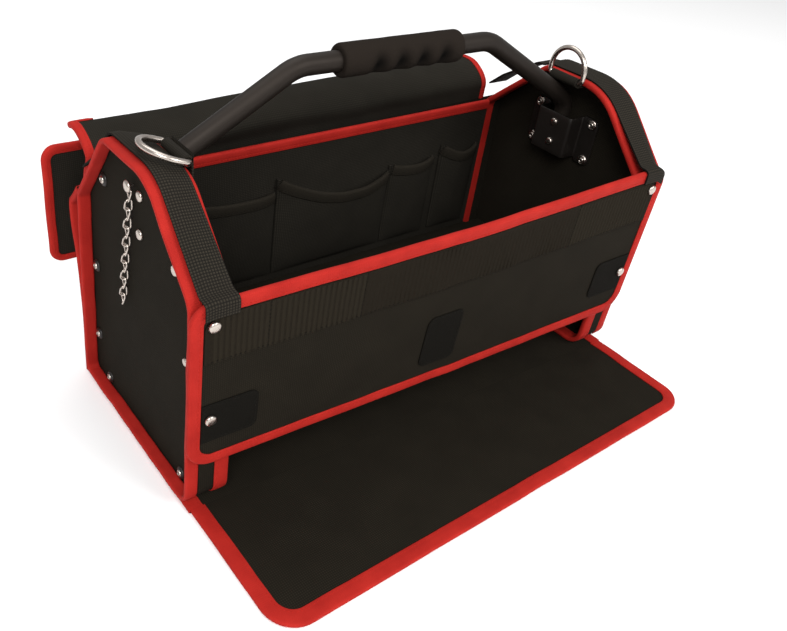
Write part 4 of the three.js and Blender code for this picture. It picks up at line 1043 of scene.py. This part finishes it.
# Handle brackets: a pressed hat section, held by four screws, with two rivets through the tube
bracket = dict(low=177, high=217, flangeLow=173, flangeHigh=219, flangeHalf=40, hatHalf=21, depth=18.8,
               plate=1.6, edge=0.35, seat=0.4, bend=2.4, corner=6, y=10, flangeFrom=1, flangeFade=2,
               screwY=(-33.2, 33.2), screwZ=(178, 214), screwIn=1.9, rivetY=8, rivetZ=(188, 208),
               rivetIn=18.7)
wing, bend = bracket["flangeHalf"], bracket["bend"]
halfPlate = bracket["plate"] / 2
root, crown, wallY = bracket["seat"] + halfPlate, bracket["depth"] - halfPlate, bracket["hatHalf"] - halfPlate
hat = [(-wing, root, 0), (-wallY, root, bend), (-wallY, crown, bend), (wallY, crown, bend),
       (wallY, root, bend), (wing, root, 0)]
inside = pan["panelInside"]
for name, side in sides.items():
    grid, uv = [], []
    for a, d, na, nb in flatPath(hat, False, 1.5):
        inset = cornerInset(wing - abs(a), bracket["corner"])
        onFlange = clamp((abs(a) - wallY - bracket["flangeFrom"]) / bracket["flangeFade"])
        low = bracket["low"] + (bracket["flangeLow"] + inset - bracket["low"]) * onFlange
        high = bracket["high"] + (bracket["flangeHigh"] - inset - bracket["high"]) * onFlange
        levels = spread(low, high, 8)
        grid.append([Vector((side["sign"] * (inside - d), bracket["y"] + a, z)) for z in levels])
        uv.append([(a, z) for z in levels])
    pressed = gridPiece("handleBracket" + name.capitalize(), grid, uv, blackSteel)
    standFor(thickened(pressed, bracket["plate"], bracket["edge"]), "black_metal", ["handle_bracket_" + name])
    inwards = Vector((-side["sign"], 0, 0))
    screwX, rivetX = (side["sign"] * (inside - bracket[key]) for key in ("screwIn", "rivetIn"))
    for y in bracket["screwY"]:
        for z in bracket["screwZ"]:
            screwPlaces.append((Vector((screwX, bracket["y"] + y, z)), inwards, "bracketScrew"))
    for z in bracket["rivetZ"]:
        rivetPlaces.append((Vector((rivetX, bracket["rivetY"], z)), inwards, "bracketRivet"))

domeShape = [(0, 1), (0.45, 0.98), (0.72, 0.9), (0.88, 0.74), (0.97, 0.45), (1, 0.15), (1, 0)]
cupShape = [(0, 0.3), (0.52, 0.3), (0.6, 0.55), (0.7, 0.62), (0.82, 0.52), (0.93, 0.32), (1, 0.1), (1, 0)]
screwShape = [(0, 0.5), (0.16, 0.52), (0.24, 0.8), (0.36, 0.92), (0.48, 0.84), (0.56, 0.62), (0.56, 0.2)]
socketShape = [(0, 0.6), (0.17, 0.62), (0.22, 0.74), (0.22, 0.4)]
faceScrews = [p for p in screwPlaces if p[2] == "screw"]
bracketScrews = [p for p in screwPlaces if p[2] != "screw"]
headSets = [("rivetHeads", domeShape, rivetPlaces, rivetNodes, "chrome", nickel),
            ("cupWashers", cupShape, faceScrews, screwNodes, "black_metal", blackSteel),
            ("bracketCups", cupShape, bracketScrews, [], "chrome", nickel),
            ("screwHeads", screwShape, screwPlaces, screwNodes, "chrome", nickel),
            ("screwSockets", socketShape, screwPlaces, [], "black_metal", blackSteel)]
for title, shape, places, nodes, slot, finish in headSets:
    item = turnedItem(title + "Item", shape, 20)
    radii = [heads[kind] for p, n, kind in places]
    attributes = {"outward": [n for p, n, kind in places], "along": [Vector((0, 0.02, 1))] * len(places),
                  "size": [Vector((r, r, h)) * mm for r, h in radii]}
    points = [p for p, n, kind in places]
    piece = grown(title, itemSet, points, [], attributes, {"Item": item, "Finish": finish})
    bpy.data.objects.remove(item)
    standFor(piece, slot, nodes)

# Chain from its rivet down the left end
chain = dict(x=234.9, top=(2, 226), end=(23.5, 119), wire=0.75, length=10, width=5.2, overlap=1.7,
             odd=95, even=8, twist=50, spare=0.01, rivet=(2, 231))
way = Vector((0, chain["end"][0] - chain["top"][0], chain["end"][1] - chain["top"][1]))
chainLength = way.length
way.normalize()
halfLink = chain["width"] / 2
bend = halfLink - chain["spare"]
linkGrid = []
for a, b, na, nb in flatPath(boxCorners(0, chain["length"], -halfLink, halfLink, bend, bend), True, 1.0, 0.3):
    section = []
    for k in range(8):
        out, up = chain["wire"] * math.cos(k * math.pi / 4), chain["wire"] * math.sin(k * math.pi / 4)
        along, wide = a + na * out, b + nb * out
        turn = math.radians(chain["twist"]) * (along / chain["length"] - 0.5)
        section.append((along / mm, (wide * math.cos(turn) - up * math.sin(turn)) / mm,
                        (wide * math.sin(turn) + up * math.cos(turn)) / mm))
    linkGrid.append(section)
linkUv = [[(0, 0)] * 9 for row in range(len(linkGrid) + 1)]
link = gridPiece("chainLinkItem", linkGrid, linkUv, nickel, True, True)
linkStep = chain["length"] - chain["overlap"]
linkCount = round((chainLength + chain["overlap"]) / linkStep)
flat = Vector((1, 0, 0)).cross(way)
starts, thicks = [], []
for k in range(linkCount):
    spin = chain["odd"] if k % 2 else chain["even"]
    wide = Matrix.Rotation(math.radians(spin), 3, way) @ flat
    starts.append(Vector((-chain["x"], *chain["top"])) + way * (k * linkStep - halfLink))
    thicks.append(way.cross(wide))
fullSize = Vector((mm, mm, mm))
attributes = {"outward": thicks, "along": [way] * linkCount, "size": [fullSize] * linkCount}
chainPiece = grown("chain", itemSet, starts, [], attributes, {"Item": link, "Finish": nickel})
bpy.data.objects.remove(link)
standFor(chainPiece, "chrome", ["chain"])
rivetShape = [(0, 6.9), (2.2, 6.8), (3.4, 6.5), (4.3, 5.8), (4.6, 5.1), (4.6, 4.8), (1, 4.8), (1, 0)]
anchor = turnedItem("chainRivetItem", rivetShape, 24)
place, outward, kind = onFace(-1, chain["rivet"], "chain")
attributes = {"outward": [outward], "along": [Vector((0, 0, 1))], "size": [fullSize]}
chainRivet = grown("chainRivet", itemSet, [place], [], attributes, {"Item": anchor, "Finish": nickel})
bpy.data.objects.remove(anchor)
standFor(chainRivet, "chrome", ["chain_rivet"])
print("fasteners and chain made")

# Handle tube and foam grip
handle = dict(y=10, radius=8, leg=219.9, foot=180, knee=(228.4, 20), bar=296, bend=98, bendRadius=40)
leg, foot, bend, bar = handle["leg"], handle["foot"], handle["bend"], (handle["bar"], handle["bendRadius"])
tubeCorners = [(-leg, foot, 0), (-leg, *handle["knee"]), (-bend, *bar), (bend, *bar), (leg, *handle["knee"]),
               (leg, foot, 0)]
tube = grown("handleTube", bentWire, [(x, handle["y"], z) for x, z, r in tubeCorners],
             [(k, k + 1) for k in range(5)], {"bend": [r * mm for x, z, r in tubeCorners]},
             {"Radius": handle["radius"] * mm, "Sides": 32, "Finish": satinTube})
standFor(tube, "tube", ["handle_tube"])

grip = dict(start=-60.5, end=60, radius=13, endRadius=10.5, lip=0.6, ease=4, bore=8.35,
            dents=(-27, -4.5, 17.5, 40), dent=4.4, dentWidth=6, power=3, lean=1.15, uneven=(14, 0.2, 5))
start, end, ease, endRadius = grip["start"], grip["end"], grip["ease"], grip["endRadius"]
gripRows = [(start, grip["bore"]), (start, endRadius - grip["lip"])]
for k in range(7):
    angle = k * math.pi / 12
    gripRows.append((start + ease * (1 - math.cos(angle)),
                     endRadius + (grip["radius"] - endRadius) * math.sin(angle)))
gripRows += [(x, grip["radius"]) for x in spread(start + ease, end - ease, 60)[1:-1]]
gripRows += [(start + end - x, r) for x, r in reversed(gripRows[:9])]
gripGrid, gripUv, gripDentShade = [], [], []
for x, r in gripRows:
    section, pressed = [], 0
    if r > grip["radius"] - 0.01:  # the full width only
        pressed = sum(math.exp(-((x - at) / grip["dentWidth"]) ** 2) for at in grip["dents"])
    for k in range(36):
        up, out = math.cos(k * math.pi / 18), math.sin(k * math.pi / 18)
        facing = max(0, -up * math.cos(grip["lean"]) - out * math.sin(grip["lean"]))  # down and forwards
        hollow = pressed * facing ** grip["power"]
        size = r - grip["dent"] * hollow + slack(x, k * 3, *grip["uneven"]) * (r > grip["bore"] + 1)
        # painted shade, as strong as the dent is deep
        gripDentShade.append(min(1, hollow))
        section.append(Vector((x, handle["y"] + size * out, handle["bar"] + size * up)))
    gripGrid.append(section)
    gripUv.append([(x, k) for k in range(37)])
foamGrip = gridPiece("handleGrip", gripGrid, gripUv + gripUv[:1], evaFoam, True, True)
grime = foamGrip.data.attributes.new("grime", "FLOAT", "POINT")  # painted shade in the dents, strongest where they face down and forwards
grime.data.foreach_set("value", gripDentShade)
standFor(foamGrip, "foam", ["handle_grip"])

# D-rings and the webbing tabs that hold them
ring = dict(half=19.5, height=27.5, wire=2.3, corner=4, arch=19.3,
            places=dict(left=(206.3, -14, 257.6, 70), right=(200.4, 1.7, 254.4, 0)))  # pivot and lean
ringTab = dict(half=16, radius=3.4, thick=1.5, edge=0.3, tail=15, drop=14.2, rise=0.7, bend=2, gap=0.8,
               pitch=0.8)
wide, tall = ring["half"], ring["height"]
ringCorners = [(-wide, 0, ring["corner"]), (-wide, tall, ring["arch"]), (wide, tall, ring["arch"]),
               (wide, 0, ring["corner"])]


def tabArc(x, z, start, count):  # round the ring's wire
    turns = [start - k * math.pi / 12 for k in range(count)]
    return [(x + ringTab["radius"] * math.cos(t), z + ringTab["radius"] * math.sin(t)) for t in turns]


for name, side in sides.items():
    title = name.capitalize()
    x, y, z, lean = ring["places"][name]
    up = Vector((side["sign"] * math.sin(math.radians(lean)), 0, math.cos(math.radians(lean))))
    pivot = Vector((side["sign"] * x, y, z))
    points = [pivot + Vector((0, a, 0)) + up * b for a, b, r in ringCorners]
    loop = grown("dRing" + title, bentWire, points, [(0, 1), (1, 2), (2, 3), (3, 0)],
                 {"bend": [r * mm for a, b, r in ringCorners]},
                 {"Radius": ring["wire"] * mm, "Sides": 20, "Finish": nickel})
    standFor(loop, "chrome", ["d_ring_" + name], name + "_ring")
    bend = ringTab["bend"]
    if name == "left":
        near, low = x - ringTab["radius"], z - ringTab["drop"] + ringTab["rise"]
        path = [(near + ringTab["tail"], low), (near + bend, low), (near, low + bend)]
        path += tabArc(x, z, math.pi, 22)
    else:
        low = z - ringTab["radius"] - ringTab["gap"]
        path = [(x + ringTab["tail"], low), (x + bend, low)] + tabArc(x, z, -math.pi / 2, 18)
    path = smoothRun(path, ringTab["pitch"])
    widths = spread(y - ringTab["half"], y + ringTab["half"], 24)
    grid = [[Vector((side["sign"] * a, w, b)) for w in widths] for a, b in path]
    uv = [[(k * ringTab["pitch"], w) for w in widths] for k in range(len(path))]
    strap = thickened(gridPiece("dRingTab" + title, grid, uv, webbing), ringTab["thick"], ringTab["edge"])
    standFor(strap, "webbing", ["d_ring_tab_" + name])
print("handle and rings made")

# Floor, soft studio light and the camera
studio = dict(reach=4000, level=-0.2, world=0.5, aim=(0, 0, 0.12))
reach, level = studio["reach"], studio["level"]
paleFloor = newMaterial("paleFloor", Base_Color=linear("#FAFAFA"), Roughness=0.9)[0]  # even and nearly white
groundCorners = [(a * reach, b * reach, level) for a, b in ((-1, -1), (1, -1), (1, 1), (-1, 1))]
ground = meshPiece("ground", groundCorners, [(0, 1, 2, 3)], paleFloor)
world = bpy.data.worlds.new("studio")
bpy.context.scene.world = world
world.use_nodes = True
sky = world.node_tree.nodes["Background"].inputs
sky["Color"].default_value = linear("#FFFFFF")
sky["Strength"].default_value = studio["world"]
lamps = [("keyLight", (-1.6, -2.0, 2.2), 1.4, 78), ("fillLight", (1.0, -2.2, 1.8), 1.4, 42),
         ("topLight", (0.0, 0.6, 2.2), 1.8, 24)]  # place, size and power
for name, place, size, power in lamps:
    lamp = bpy.data.lights.new(name, "AREA")
    lamp.energy, lamp.size = power, size
    light = bpy.data.objects.new(name, lamp)
    light.location = place
    light.rotation_euler = (Vector(studio["aim"]) - light.location).to_track_quat("-Z", "Y").to_euler()
    bpy.context.scene.collection.objects.link(light)
bpy.context.scene.view_settings.view_transform = "Standard"

view = dict(place=(-447.920, -496.004, 500.958), right=(0.82041236, -0.56417582, 0.09289348),
            down=(-0.26794703, -0.52287999, -0.80919769), ahead=(0.50510192, 0.63898526, -0.58014644),
            sensor=36, lens=38.78, shift=(0.0934, 0.0184), clip=(0.01, 50))
lensData = bpy.data.cameras.new("camera")
lensData.sensor_width, lensData.lens = view["sensor"], view["lens"]
lensData.shift_x, lensData.shift_y = view["shift"]
lensData.clip_start, lensData.clip_end = view["clip"]
camera = bpy.data.objects.new("camera", lensData)
axes = Matrix((view["right"], [-c for c in view["down"]], [-c for c in view["ahead"]])).transposed()
camera.matrix_world = Matrix.Translation(Vector(view["place"]) * mm) @ axes.to_4x4()
bpy.context.scene.collection.objects.link(camera)
bpy.context.scene.camera = camera

print("scene ready")
